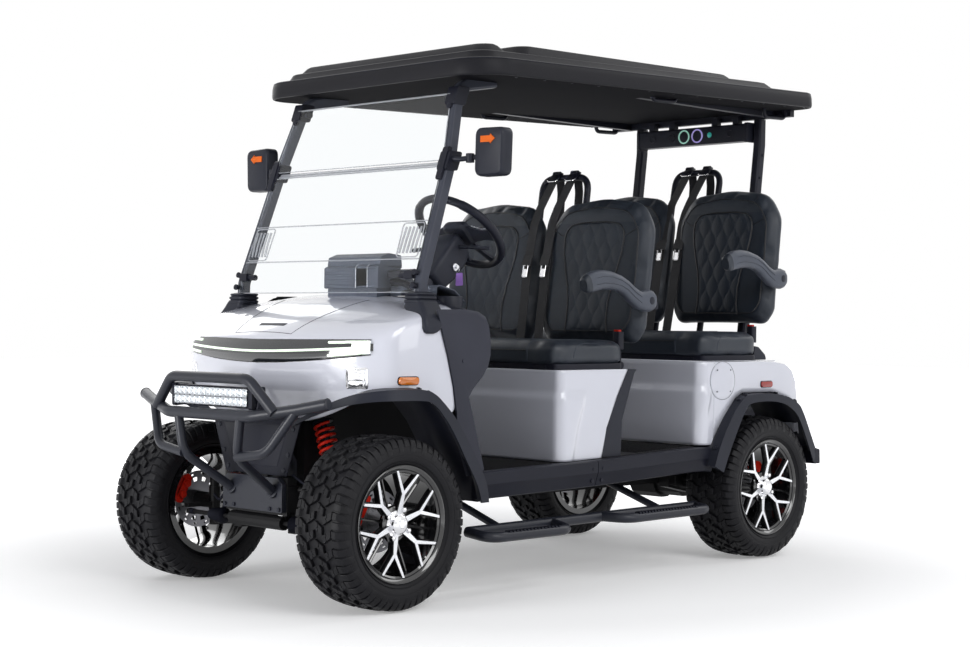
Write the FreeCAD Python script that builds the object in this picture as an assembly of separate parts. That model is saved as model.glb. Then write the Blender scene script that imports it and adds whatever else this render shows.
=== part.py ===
"""Four-seat electric golf cart: chassis, cowl, seats, roof, steering and four wheels.

Millimetres. +X is the cart's left, the front faces -Y, +Z is up.
The origin is on the ground, midway between the axles and on the centre line.
"""
import FreeCAD
import Part
import math
import os

V = FreeCAD.Vector
X_AXIS = V(1, 0, 0)
Y_AXIS = V(0, 1, 0)
Z_AXIS = V(0, 0, 1)

# Wheels and steering
WHEELBASE = 2060.0
TRACK = 1030.0
TYRE_RADIUS = 292.0
TYRE_WIDTH = 240.0
BEAD_RADIUS = 178.0
RIM_LIP_RADIUS = 196.0
RIM_LIP_THICK = 8.0
RIM_WALL = 7.0
HUB_RADIUS = 52.0
CAP_RADIUS = 34.0
SPOKE_COUNT = 6
SPOKE_WIDTH = 20.0
SPOKE_THICK = 16.0
DISC_RADIUS = 105.0
DISC_THICK = 5.0
HUB_BACK = -20.0
KINGPIN_X = 400.0
STEER_ARM = 110.0
TIE_ROD_RADIUS = 8.0
BEARING_GAP = 0.3

# Chassis
RAIL_WIDTH = 50.0
RAIL_HEIGHT = 90.0
RAIL_BOTTOM = 300.0
RAIL_X = 230.0
FRONT_RAIL_X = 150.0
FRAME_FRONT = -1150.0
FRAME_REAR = 1310.0
LEAF_HALF = 270.0
CROSS_SIZE = 40.0

# Body
BODY_HALF_WIDTH = 575.0
REAR_HALF_WIDTH = 600.0
REAR_DECK_Z = 848.0
PANEL = 5.0
FLOOR_THICK = 10.0
FLOOR_FRONT_Z = 435.0
FLOOR_REAR_Z = 476.0
FLOOR_FRONT_Y = -600.0
FLOOR_REAR_Y = 600.0
ROCKER_OUT = 600.0
ROCKER_IN = 562.0
ROCKER_FRONT_Y = -650.0
ROCKER_REAR_Y = 690.0
ROCKER_HEIGHT = 96.0
FLARE_OUT = 640.0
HALF_LENGTH = 1378.0
NOSE_Y = -1135.0
COWL_REAR_Y = -745.0
COWL_TOP = 1046.0
COWL_BOTTOM = 647.0

# Seats
CUSHION_HALF_WIDTH = 520.0
BACK_WIDTH = 498.0
BACK_X = 285.0
BACK_THICK = 90.0
SEAT_BASE_X = 570.0
SEAT_BASE_TOP = 788.0
FRONT_SEAT_FRONT_Y = -200.0
ARMREST_X = 576.0
ARMREST_WIDTH = 48.0
ARMREST_HEIGHT = 78.0
HOOP_RADIUS = 14.0
HOOP_HALF_WIDTH = 125.0

# Canopy and screen
ROOF_HALF_WIDTH = 620.0
ROOF_FRONT_Y = -680.0
ROOF_REAR_Y = 1378.0
ROOF_RIM_Z = 1842.0
ROOF_RIM_HEIGHT = 52.0
ROOF_TOP_Z = 2010.0
ROOF_SHELL = 8.0
STRUT_WIDTH = 34.0
STRUT_DEPTH = 44.0
SCREEN_THICK = 5.0
ROOF_FRAME_Z = 1856.0
ROOF_FRAME_SIZE = 30.0
REAR_STRUT_X = 330.0

# Front accessory bolts
WINCH_SPACING_X = 120.0
WINCH_SPACING_Z = 50.0
WINCH_Z = 360.0
WINCH_HOLE = 5.5

# Tubes outside the body
BUMPER_TUBE = 20.0
STEP_TUBE = 19.0

FRONT_AXLE_Y = -WHEELBASE / 2
REAR_AXLE_Y = WHEELBASE / 2
AXLE_Z = TYRE_RADIUS
BUMPER_Y = BUMPER_TUBE - HALF_LENGTH
WHEEL_X = TRACK / 2

nodes = {}


def box(x0, x1, y0, y1, z0, z1):
    """Block between two corners."""
    return Part.makeBox(x1 - x0, y1 - y0, z1 - z0, V(x0, y0, z0))


def rod(start, end, radius, sides=12):
    """Bar of a round section between two points, drawn with flats to keep the file light."""
    start, end = V(*start), V(*end)
    axis = (end - start).normalize()
    return polygon_face(ring_points(start, axis, radius, sides)).extrude(V(*end) - V(*start))


def ring_points(centre, axis, radius, sides):
    """Corners of a regular polygon of the same area as the circle it stands for."""
    axis = V(axis).normalize()
    first = axis.cross(Z_AXIS if abs(axis.z) < 0.9 else X_AXIS).normalize()
    second = axis.cross(first)
    step = 2 * math.pi / sides
    grown = radius * math.sqrt(step / math.sin(step))
    return [tuple(centre + first * (grown * math.cos(i * step + step / 2))
                  + second * (grown * math.sin(i * step + step / 2))) for i in range(sides)]


def polygon_face(points):
    corners = [V(*p) for p in points]
    return Part.Face(Part.makePolygon(corners + [corners[0]]))


def prism_x(outline, x0, x1):
    """Outline of (y, z) pairs, extruded from x0 to x1."""
    return polygon_face([(x0, y, z) for y, z in outline]).extrude(V(x1 - x0, 0, 0))


def prism_y(outline, y0, y1):
    """Outline of (x, z) pairs, extruded from y0 to y1."""
    return polygon_face([(x, y0, z) for x, z in outline]).extrude(V(0, y1 - y0, 0))


def prism_z(outline, z0, z1):
    """Outline of (x, y) pairs, extruded from z0 to z1."""
    return polygon_face([(x, y, z0) for x, y in outline]).extrude(V(0, 0, z1 - z0))


def rounded_wire(points, radius, closed=False):
    """Straight runs joined by tangent arcs; radius may be a list, one for each point."""
    points = [V(*p) for p in points]
    count = len(points)
    radii = radius if isinstance(radius, (list, tuple)) else [radius] * count
    ends = {}
    arcs = {}
    for i in range(count):
        if not closed and i in (0, count - 1):
            ends[i] = (points[i], points[i])
            continue
        before, here, after = points[i - 1], points[i], points[(i + 1) % count]
        a, b = (before - here), (after - here)
        turn = math.pi - a.getAngle(b)
        if radii[i] <= 0 or turn < 0.001:
            ends[i] = (here, here)
            continue
        reach = radii[i] * math.tan(turn / 2)
        reach = min(reach, 0.49 * a.Length, 0.49 * b.Length)
        true_radius = reach / math.tan(turn / 2)
        p0 = here + a.normalize() * reach
        p1 = here + b.normalize() * reach
        middle = (a + b).normalize()
        sagitta = true_radius * (1 / math.cos(turn / 2) - 1)
        arcs[i] = Part.Arc(p0, here + middle * sagitta, p1).toShape()
        ends[i] = (p0, p1)
    edges = []
    for i in range(count):
        if i in arcs:
            edges.append(arcs[i])
        j = (i + 1) % count
        if not closed and i == count - 1:
            break
        if (ends[j][0] - ends[i][1]).Length > 1e-6:
            edges.append(Part.LineSegment(ends[i][1], ends[j][0]).toShape())
    return Part.Wire(edges)


def bent_path(points, bend, steps=2):
    """Corner points, with each inner corner replaced by points along its bend."""
    points = [V(*p) for p in points]
    path = [points[0]]
    for i in range(1, len(points) - 1):
        here = points[i]
        a, b = points[i - 1] - here, points[i + 1] - here
        turn = math.pi - a.getAngle(b)
        reach = min(bend * math.tan(turn / 2), 0.49 * a.Length, 0.49 * b.Length)
        p0 = here + V(a).normalize() * reach
        p1 = here + V(b).normalize() * reach
        for k in range(steps + 1):
            t = k / steps
            path.append(p0 * (1 - t) ** 2 + here * (2 * t * (1 - t)) + p1 * t ** 2)
    path.append(points[-1])
    return path


def swept(section, path):
    """Section carried along straight runs, with a mitre at each corner."""
    rings = [section]
    for i in range(1, len(path)):
        run = (path[i] - path[i - 1]).normalize()
        onward = (path[i + 1] - path[i]).normalize() if i < len(path) - 1 else run
        mitre = run + onward
        ring = [p + run * ((path[i] - p).dot(mitre) / run.dot(mitre)) for p in rings[-1]]
        rings.append(ring)
    loops = [rings[0], rings[-1]]
    count = len(section)
    for near, far in zip(rings, rings[1:]):
        for i in range(count):
            j = (i + 1) % count
            loops.append([near[i], near[j], far[j], far[i]])
    return closed_solid(loops)


def closed_solid(loops):
    """Solid bounded by flat faces, each given by its corners."""
    faces = [Part.Face(Part.makePolygon(loop + [loop[0]])) for loop in loops]
    solid = Part.Solid(Part.Shell(faces))
    if solid.Volume < 0:
        solid.reverse()
    return solid


def tube(points, radius, bend, sides=10):
    """Bent tube, kept solid."""
    path = bent_path(points, bend)
    section = ring_points(path[0], path[1] - path[0], radius, sides)
    return swept([V(*p) for p in section], path)


def flat_bar(points, width, depth, bend):
    """Bar of box section with clipped corners, swept along a path close to the YZ plane."""
    path = bent_path(points, bend)
    heading = (path[1] - path[0]).normalize()
    side = (X_AXIS - heading * X_AXIS.dot(heading)).normalize()
    other = heading.cross(side)
    a, b, c = width / 2, depth / 2, min(width, depth) * 0.2
    corners = [(-a, -b + c), (-a + c, -b), (a - c, -b), (a, -b + c), (a, b - c), (a - c, b),
               (-a + c, b), (-a, b - c)]
    return swept([path[0] + side * u + other * v for u, v in corners], path)


def rounded_prism(points, radius, travel):
    """Closed outline with rounded corners, extruded by a vector."""
    return Part.Face(rounded_wire(points, radius, True)).extrude(V(*travel))


def rounded_prism_x(outline, radius, x0, x1):
    return rounded_prism([(x0, y, z) for y, z in outline], radius, (x1 - x0, 0, 0))


def rounded_prism_y(outline, radius, y0, y1):
    return rounded_prism([(x, y0, z) for x, z in outline], radius, (0, y1 - y0, 0))


def rounded_prism_z(outline, radius, z0, z1):
    return rounded_prism([(x, y, z0) for x, y in outline], radius, (0, 0, z1 - z0))


def mirror_x(shape):
    return shape.mirror(V(0, 0, 0), X_AXIS)


def fuse(shapes):
    """Union of touching solids."""
    first = shapes[0]
    return first.fuse(shapes[1:]).removeSplitter() if len(shapes) > 1 else first


def group(shapes):
    """Solids that do not touch, kept in one node."""
    solids = []
    for shape in shapes:
        solids.extend(shape.Solids)
    return Part.makeCompound(solids)


def turned(shape, centre, axis, degrees):
    copy = shape.copy()
    copy.rotate(V(*centre), V(*axis), degrees)
    return copy


def moved(shape, x=0.0, y=0.0, z=0.0):
    copy = shape.copy()
    copy.translate(V(x, y, z))
    return copy


def turned_solid(profile, sides, phase=0.0):
    """Closed (x, r) profile turned about the X axis in flat steps."""
    step = 2 * math.pi / sides
    def corner(i, j):
        x, r = profile[i % len(profile)]
        a = phase + j * step
        return V(x, r * math.sin(a), r * math.cos(a))
    loops = []
    for i in range(len(profile)):
        for j in range(sides):
            loops.append([corner(i, j), corner(i + 1, j), corner(i + 1, j + 1), corner(i, j + 1)])
    return closed_solid(loops)


# Wheels

WHEEL_SIDES = 20
LUG_DEPTH = 10.0


def tyre():
    """Ring from the bead seat to the tread, with a row of lugs along each shoulder; on its own centre."""
    half = TYRE_WIDTH / 2
    base = (TYRE_RADIUS - LUG_DEPTH) / math.cos(math.pi / WHEEL_SIDES)
    bead = BEAD_RADIUS + BEARING_GAP
    lip = RIM_LIP_RADIUS + BEARING_GAP
    bead_half = half - 12 - RIM_LIP_THICK - BEARING_GAP
    profile = [(-bead_half, bead), (-bead_half, lip), (-half, bead + 50), (-half + 16, base),
               (half - 16, base), (half, bead + 50), (bead_half, lip), (bead_half, bead)]
    carcass = turned_solid(profile, WHEEL_SIDES, math.pi / WHEEL_SIDES)
    lugs = []
    lug_half = 0.62 * TYRE_RADIUS * math.sin(math.pi / WHEEL_SIDES)
    tip = math.sqrt(TYRE_RADIUS ** 2 - lug_half ** 2)
    first = math.degrees(math.asin(lug_half / TYRE_RADIUS))
    for i in range(WHEEL_SIDES):
        for row, x0, x1 in ((0, -half + 9, -14), (0.5, 14, half - 9)):
            lug = box(x0, x1, -lug_half, lug_half, -tip, 16 - base)
            lugs.append(turned(lug, (0, 0, 0), (1, 0, 0), first + 360.0 * (i + row) / WHEEL_SIDES))
    return carcass.fuse(lugs).removeSplitter()


def spoke(face_x):
    """One Y spoke: a stem from the hub that forks into two arms at the barrel."""
    inner = HUB_RADIUS - 6
    fork = 0.60 * BEAD_RADIUS
    outer = BEAD_RADIUS - RIM_WALL - 8
    half = SPOKE_WIDTH / 2
    spread = 50.0
    outline = [
        (-half, inner), (-half * 0.7, fork), (-spread - half, outer), (-spread + half, outer),
        (0, fork + 24), (spread - half, outer), (spread + half, outer), (half * 0.7, fork),
        (half, inner),
    ]
    points = [(face_x, a, b) for a, b in outline]
    return polygon_face(points).extrude(V(-SPOKE_THICK, 0, 0))


def rim():
    """Barrel with two lips, Y spokes, hub, cap, nuts and brake disc; outer face towards +X."""
    half = TYRE_WIDTH / 2 - 12
    lip = RIM_LIP_THICK
    inside = BEAD_RADIUS - RIM_WALL
    barrel = turned_solid([
        (-half, inside), (-half, RIM_LIP_RADIUS), (-half + lip, RIM_LIP_RADIUS), (-half + lip, BEAD_RADIUS),
        (half - lip, BEAD_RADIUS), (half - lip, RIM_LIP_RADIUS), (half, RIM_LIP_RADIUS), (half, inside + 3),
        (half - 16, inside),
    ], WHEEL_SIDES, math.pi / WHEEL_SIDES)
    face_x = half - 14
    arm = spoke(face_x)
    pieces = [barrel]
    for i in range(SPOKE_COUNT):
        pieces.append(turned(arm, (0, 0, 0), (1, 0, 0), i * 360.0 / SPOKE_COUNT))
    pieces.append(rod((HUB_BACK, 0, 0), (face_x - 4, 0, 0), HUB_RADIUS, 16))
    pieces.append(rod((0, 0, 0), (face_x + 13, 0, 0), CAP_RADIUS, 12))
    pieces.append(rod((HUB_BACK, 0, 0), (HUB_BACK + DISC_THICK, 0, 0), DISC_RADIUS, 24))
    return fuse(pieces)


def wheels():
    rubber, metal = tyre(), rim()
    for name, axle_y in (("front", FRONT_AXLE_Y), ("rear", REAR_AXLE_Y)):
        for label, side in (("left", 1), ("right", -1)):
            for kind, shape in (("tyre", rubber), ("rim", metal)):
                copy = shape if side > 0 else mirror_x(shape)
                nodes[f"{kind}_{name}_{label}"] = moved(copy, side * WHEEL_X, axle_y, AXLE_Z)


# Steering and front suspension

ARM_BALL_Z = 218.0
UPPER_BALL_Z = 366.0
RACK_Z = 262.0
RACK_Y = FRONT_AXLE_Y - STEER_ARM
RACK_HALF = 145.0


def knuckle(side):
    """Upright on the kingpin with the stub axle, steering arm and brake caliper."""
    x = side * KINGPIN_X
    post = rod((x, FRONT_AXLE_Y, ARM_BALL_Z + 22), (x, FRONT_AXLE_Y, UPPER_BALL_Z - 22), 20)
    hub_in = side * (WHEEL_X + HUB_BACK)
    spindle = rod((x, FRONT_AXLE_Y, AXLE_Z), (hub_in - side * BEARING_GAP, FRONT_AXLE_Y, AXLE_Z), 28)
    arm = box(x - 11, x + 11, RACK_Y - 14, FRONT_AXLE_Y, RACK_Z + 14, RACK_Z + 28)
    return fuse([post, spindle, arm])


def wishbone(side, pivot_y, pivot_z, ball_z, pivot_x, thick):
    """A-arm from two frame pivots to one ball joint."""
    ball = (side * KINGPIN_X, FRONT_AXLE_Y, ball_z)
    legs = []
    for sign in (-1, 1):
        legs.append(rod((side * pivot_x, FRONT_AXLE_Y + sign * pivot_y, pivot_z), ball, thick))
    post_low, post_high = ARM_BALL_Z + 22, UPPER_BALL_Z - 22
    z0, z1 = (ball_z - 13, post_low) if ball_z < AXLE_Z else (post_high, ball_z + 13)
    gap = BEARING_GAP if ball_z < AXLE_Z else -BEARING_GAP
    eye = rod((ball[0], ball[1], min(z0, z0 - gap)), (ball[0], ball[1], z1 - max(gap, 0)), 17)
    return fuse(legs + [eye])


def front_suspension():
    arms = []
    for side in (1, -1):
        lower = wishbone(side, 75, 245, ARM_BALL_Z, FRONT_RAIL_X + 26, 12)
        seat = rod((side * 345, FRONT_AXLE_Y - 30, 225), (side * 345, FRONT_AXLE_Y + 30, 225), 9)
        arms.append(fuse([lower, seat]))
        arms.append(wishbone(side, 70, 378, UPPER_BALL_Z + 8, FRONT_RAIL_X + 23.4, 10))
    nodes["front_suspension"] = arms
    springs = []
    for side in (1, -1):
        springs.append(coilover(side, (262, FRONT_AXLE_Y, 474), (212, FRONT_AXLE_Y, 612)))
    nodes["front_springs"] = group(springs)


def coilover(side, low, high):
    low = V(side * low[0], low[1], low[2])
    high = V(side * high[0], high[1], high[2])
    along = (high - low).normalize()
    spring = rod(low, high, 37)
    rod_low = rod(low - along * 252, low + along * 5, 11)
    inner = side * (FRONT_RAIL_X + 20.3)
    pin = rod((inner, FRONT_AXLE_Y, high.z - 12), (high.x, FRONT_AXLE_Y, high.z - 12), 12)
    return fuse([spring, rod_low, pin])


def steering_gear():
    """Rack housing with bellows on the frame, and the sliding rack with its tie rods."""
    housing = rod((-RACK_HALF, RACK_Y, RACK_Z), (RACK_HALF, RACK_Y, RACK_Z), 24)
    bore = rod((-RACK_HALF - 1, RACK_Y, RACK_Z), (RACK_HALF + 1, RACK_Y, RACK_Z), TIE_ROD_RADIUS + 0.4)
    feet = [box(s * 140 - 8, s * 140 + 8, RACK_Y + 0.4, RACK_Y + 14, RACK_Z + 15, RAIL_BOTTOM - 0.3) for s in (1, -1)]
    housing = fuse([housing] + feet)
    nodes["front_suspension"] = group(nodes["front_suspension"] + [housing.cut(bore)])
    reach = KINGPIN_X
    bar = rod((-reach, RACK_Y, RACK_Z), (reach, RACK_Y, RACK_Z), TIE_ROD_RADIUS)
    ends = [rod((s * reach, RACK_Y, RACK_Z - 8), (s * reach, RACK_Y, RACK_Z + 8), 13) for s in (1, -1)]
    nodes["steering_rack"] = fuse([bar] + ends)


def knuckles():
    nodes["knuckle_left"] = knuckle(1)
    nodes["knuckle_right"] = knuckle(-1)


WHEEL_CENTRE = V(290, -450, 1290)
COLUMN_AXIS = V(0, 0.675, 0.738).normalize()
STEERING_WHEEL_RADIUS = 185.0
STEERING_RIM_RADIUS = 14.0
SHAFT_RADIUS = 11.0
COLUMN_RADIUS = 30.0


def steering_wheel():
    """Rim, three spokes, hub and the shaft that turns in the column."""
    middle = STEERING_WHEEL_RADIUS - STEERING_RIM_RADIUS
    section = []
    for k in range(6):
        a = k * math.pi / 3
        section.append((STEERING_RIM_RADIUS * math.sin(a), middle + STEERING_RIM_RADIUS * math.cos(a)))
    ring = turned_solid(section, 24)
    shaft = Part.makeCylinder(SHAFT_RADIUS, 320, V(-320, 0, 0), X_AXIS)
    pieces = [ring, rod((-22, 0, 0), (12, 0, 0), 38, 12), shaft]
    for angle in (90, 210, 330):
        a = math.radians(angle)
        pieces.append(rod((0, 0, 0), (0, middle * math.cos(a), middle * math.sin(a)), 8, 8))
    wheel = fuse(pieces)
    turn = FreeCAD.Rotation(X_AXIS, COLUMN_AXIS)
    wheel.Placement = FreeCAD.Placement(WHEEL_CENTRE, turn)
    nodes["steering_wheel"] = wheel


def steering_column():
    """Fixed column tube under the wheel, with its stalk housing."""
    start = WHEEL_CENTRE - COLUMN_AXIS * 40
    housing = rod(start, start - COLUMN_AXIS * 120, 42)
    column = rod(start, start - COLUMN_AXIS * 330, COLUMN_RADIUS)
    bore = Part.makeCylinder(SHAFT_RADIUS + BEARING_GAP, 420, start + COLUMN_AXIS * 10, COLUMN_AXIS * -1)
    nodes["steering_column"] = fuse([housing, column]).cut(bore)


# Chassis

def floor_z(y):
    """Top of the raked floor at a station."""
    slope = (FLOOR_REAR_Z - FLOOR_FRONT_Z) / (FLOOR_REAR_Y - FLOOR_FRONT_Y)
    return FLOOR_FRONT_Z + slope * (y - FLOOR_FRONT_Y)


def frame_rails():
    top = RAIL_BOTTOM + RAIL_HEIGHT
    pieces = []
    for side in (1, -1):
        x = side * RAIL_X
        x0, x1 = x - RAIL_WIDTH / 2, x + RAIL_WIDTH / 2
        pieces.append(box(x0, x1, -640, 760, RAIL_BOTTOM, top))
        pieces.append(box(x0, x1, 720, FRAME_REAR, RAIL_BOTTOM + 50, top + 50))
        out = side * (RAIL_X + RAIL_WIDTH / 2)
        for y in (REAR_AXLE_Y - LEAF_HALF, REAR_AXLE_Y + LEAF_HALF - 40):
            pieces.append(box(min(out - side, out + side * 55), max(out - side, out + side * 55), y, y + 40,
                              297, 400))
        fx = side * FRONT_RAIL_X
        front = box(fx - 20, fx + 20, FRAME_FRONT, -620, RAIL_BOTTOM, top)
        pieces.append(front)
        tower = box(fx - 20, fx + 20, FRONT_AXLE_Y - 45, FRONT_AXLE_Y + 45, top - 5, 660)
        pieces.append(box(fx - 20, fx + 20, FRONT_AXLE_Y - 83, FRONT_AXLE_Y + 83, 225, RAIL_BOTTOM + 5))
        pieces.append(tower)
    half = RAIL_X + RAIL_WIDTH / 2
    for y in (-660, 20, 700):
        pieces.append(box(-half, half, y, y + CROSS_SIZE, RAIL_BOTTOM + 10, top - 10))
    pieces.append(box(-half, half, FRAME_REAR - CROSS_SIZE, FRAME_REAR, RAIL_BOTTOM + 60, top + 40))
    narrow = FRONT_RAIL_X + 20
    pieces.append(box(-narrow, narrow, FRAME_FRONT, FRAME_FRONT + 10, RAIL_BOTTOM - 10, top + 30))
    pieces.append(box(-60, 60, FRAME_FRONT, FRAME_FRONT + 10, top + 20, 560))
    pieces.append(box(-narrow, narrow, FRONT_AXLE_Y - 20, FRONT_AXLE_Y + 20, 620, 660))
    for y in (-560, 20, 560):
        reach = ROCKER_IN - 2
        pieces.append(box(-reach, reach, y, y + CROSS_SIZE, top - 1, floor_z(y) - FLOOR_THICK - 0.3))
    return pieces


def chassis():
    nodes["chassis_frame"] = fuse(frame_rails()).cut(winch_holes())
    nodes["battery_pack"] = box(-290, 290, -140, 150, floor_z(150) + 0.3, 720)


def rear_axle():
    """Tube axle, drive motor, leaf springs and dampers behind the seats."""
    inner = WHEEL_X + HUB_BACK - BEARING_GAP
    axle = rod((-inner, REAR_AXLE_Y, AXLE_Z), (inner, REAR_AXLE_Y, AXLE_Z), 28)
    diff = rod((-60, REAR_AXLE_Y, AXLE_Z), (75, REAR_AXLE_Y, AXLE_Z), 82)
    motor = rod((75, REAR_AXLE_Y, AXLE_Z), (190, REAR_AXLE_Y, AXLE_Z), 70)
    springs = [fuse([axle, diff, motor])]
    for side in (1, -1):
        x = side * (RAIL_X + RAIL_WIDTH / 2 + 30)
        arch = [(REAR_AXLE_Y - LEAF_HALF, 286), (REAR_AXLE_Y - 120, 254), (REAR_AXLE_Y + 120, 254),
                (REAR_AXLE_Y + LEAF_HALF, 286), (REAR_AXLE_Y + LEAF_HALF, 296.7), (REAR_AXLE_Y + 120, 263.8),
                (REAR_AXLE_Y - 120, 263.8), (REAR_AXLE_Y - LEAF_HALF, 296.7)]
        springs.append(prism_x(arch, x - 25, x + 25))
    nodes["rear_axle"] = group(springs)


# Body panels

def nose_plan(offset=0.0):
    """Plan outline of the cowl, (x, y), grown by an offset."""
    half = BODY_HALF_WIDTH + offset
    rear = COWL_REAR_Y
    nose = NOSE_Y - offset
    left = [(half, rear), (half - 6, rear - 170), (half - 24, nose + 130), (half - 75, nose + 62),
            (half - 190, nose + 22), (half - 370, nose + 3)]
    right = [(-x, y) for x, y in reversed(left)]
    return left + [(0, nose)] + right


def cowl_block(offset):
    """Solid form of the front body; a negative offset gives the inner skin."""
    plan = prism_z(nose_plan(offset), 500, 1200)
    side = [
        (COWL_REAR_Y + 20, COWL_BOTTOM - 60), (NOSE_Y - 60, COWL_BOTTOM - 60),
        (NOSE_Y - 60, 905 + offset), (NOSE_Y + 25, 925 + offset), (NOSE_Y + 170, 1000 + offset),
        (-820, COWL_TOP + offset), (COWL_REAR_Y + 20, COWL_TOP + offset),
    ]
    half = BODY_HALF_WIDTH + 80
    return plan.common(prism_x(side, -half, half))


def front_arch_cutter(side):
    """Wheel house: everything outboard of the inner wall and under the flare's top line."""
    outline = [(-1500, 0), (-1500, 640), (-1340, 690), (-1215, 722), (-1150, 735), (-940, 733),
               (-895, 715), (-850, 670), (-760, 560), (-640, 0)]
    return prism_x(outline, side * 380, side * 800)


def front_body():
    shell = cowl_block(0).cut(cowl_block(-PANEL))
    lower = box(-700, 700, -1400, COWL_REAR_Y + 40, 0, COWL_BOTTOM - 15)
    shell = shell.cut(lower)
    back = box(-700, 700, COWL_REAR_Y, COWL_REAR_Y + 60, 0, 1400)
    shell = shell.cut(back)
    for side in (1, -1):
        shell = shell.cut(front_arch_cutter(side))
    shell = shell.cut(nodes["front_flares"])
    lid = rounded_prism_z([(-300, -845), (300, -845), (215, -1105), (-215, -1105)], 25, 800, 1200)
    gap = rounded_prism_z([(-300.8, -844.2), (300.8, -844.2), (215.8, -1105.8), (-215.8, -1105.8)], 25.8, 800, 1200)
    nodes["hood_cover"] = biggest(shell.common(lid).common(box(-400, 400, -1110, -700, 900, 1200)))
    nodes["front_cowl"] = biggest(shell.cut(gap.common(box(-400, 400, -1110, -700, 900, 1200))))


def biggest(shape):
    """The largest solid of a boolean result."""
    return max(shape.Solids, key=lambda solid: solid.Volume)


def valance():
    """Black panel that closes the nose under the cowl."""
    y = FRAME_FRONT - 0.3
    plate = prism_y([(-250, 631.7), (250, 631.7), (170, 425), (-170, 425)], y - 5, y)
    nodes["front_valance"] = plate


def on_facet(side, a, b, width, height, thick, z):
    """Small block seated on the flat of the cowl between two plan corners."""
    along = V(b[0] - a[0], b[1] - a[1], 0).normalize()
    out = V(-along.y, along.x, 0)
    if out.x < 0:
        out = out * -1
    centre = V((a[0] + b[0]) / 2, (a[1] + b[1]) / 2, 0) + out * BEARING_GAP
    half = along * (width / 2)
    corners = [centre - half, centre + half, centre + half + out * thick, centre - half + out * thick]
    block = prism_z([(c.x, c.y) for c in corners], z - height / 2, z + height / 2)
    return block if side > 0 else mirror_x(block)


def lamp_bar():
    outer = prism_z(nose_plan(8), 700, 1100)
    inner = prism_z(nose_plan(0.3), 690, 1110)
    ring = outer.cut(inner)
    band = prism_y([(-520, 898), (-520, 846), (0, 812), (520, 846), (520, 898), (0, 892)], -1300, -1040)
    return biggest(ring.common(band))


def lamps():
    nodes["headlamp_bar"] = lamp_bar()
    corner = []
    for side in (1, -1):
        corner.append(on_facet(side, nose_plan()[2], nose_plan()[3], 76, 66, 6, 781))
    markers = corner
    for side in (1, -1):
        markers.append(on_facet(side, nose_plan()[1], nose_plan()[2], 74, 28, 6, 762))
        rx = side * (REAR_HALF_WIDTH + 0.3)
        rear = box(min(rx, rx + side * 6), max(rx, rx + side * 6), 985, 1062, 694, 722)
        markers.append(rear)
    nodes["marker_lamps"] = group(markers)


def front_flares():
    parts = []
    for side in (1, -1):
        outer = [(-1330, 640), (-1293, 705), (-1215, 727), (-1150, 742), (-940, 740), (-893, 722),
                 (-840, 670), (-735, 500), (-655, 339), (-676, 339), (-694, 405), (-762, 505),
                 (-812, 590), (-868, 655), (-905, 688), (-940, 698), (-1150, 698), (-1250, 685),
                 (-1300, 640)]
        lip = prism_x(outer, side * 535, side * FLARE_OUT)
        parts.append(lip.cut(box(-584, 584, -900, -600, 0, 640)))
    nodes["front_flares"] = group(parts)


def cowl_sides():
    outline = [(-842, 1003), (-660, 1003), (-610, 990), (-580, 960), (-545, 842), (-562, 798),
               (-655, 702), (-662, 660), (-630, 515), (-590, 446), (-648, 430), (-690, 432),
               (-735, 500), (-742, 647)]
    parts = []
    for side in (1, -1):
        panel = prism_x(outline, side * (BODY_HALF_WIDTH + 0.3), side * (BODY_HALF_WIDTH + 6))
        parts.append(biggest(panel.cut(nodes["front_flares"])))
    nodes["cowl_sides"] = group(parts)


def dashboard():
    front = COWL_REAR_Y + BEARING_GAP
    outline = [(front, 1052), (-560, 1010), (-520, 960), (-560, 900), (-700, 880), (front, 880)]
    face = prism_x(outline, -560, 560)
    pod = prism_x([(-800, COWL_TOP + 0.3), (-800, 1175), (-745, 1205), (-680, 1190), (-670, 1035), (-740, 1040),
                   (-740, COWL_TOP + 0.3)],
                  -60, 235)
    tunnel = rod(WHEEL_CENTRE, WHEEL_CENTRE - COLUMN_AXIS * 420, COLUMN_RADIUS + 0.4)
    nodes["dashboard"] = fuse([face, pod]).cut(tunnel)


def floor_pan():
    y0, y1 = FLOOR_FRONT_Y, FLOOR_REAR_Y
    thick = FLOOR_THICK
    outline = [(y0, floor_z(y0)), (y1, floor_z(y1)), (y1, floor_z(y1) - thick), (y0, floor_z(y0) - thick),
               (-790, 800), (-780, 800)]
    flat = prism_x(outline[:4], -ROCKER_IN, ROCKER_IN)
    toe = prism_x([(y0, floor_z(y0)), (y0, floor_z(y0) - thick), (-765, 780), (-740, 860), (-732, 860),
                   (-757, 780)], -ROCKER_IN, ROCKER_IN)
    nodes["floor_pan"] = fuse([flat, toe])


def rocker(side):
    """Sill with a chamfered lower face, raked with the floor."""
    def section(y):
        top = floor_z(y) - 8
        x0, x1 = side * (ROCKER_IN + 0.5), side * ROCKER_OUT
        slant = side * (ROCKER_OUT - 14)
        return Part.makePolygon([V(x0, y, top), V(x1, y, top), V(x1, y, top - 45),
                                 V(slant, y, top - ROCKER_HEIGHT), V(x0, y, top - ROCKER_HEIGHT),
                                 V(x0, y, top)])
    return Part.makeLoft([section(ROCKER_FRONT_Y), section(ROCKER_REAR_Y)], True, True)


def sills():
    nodes["rockers"] = group([rocker(1), rocker(-1)])


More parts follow.
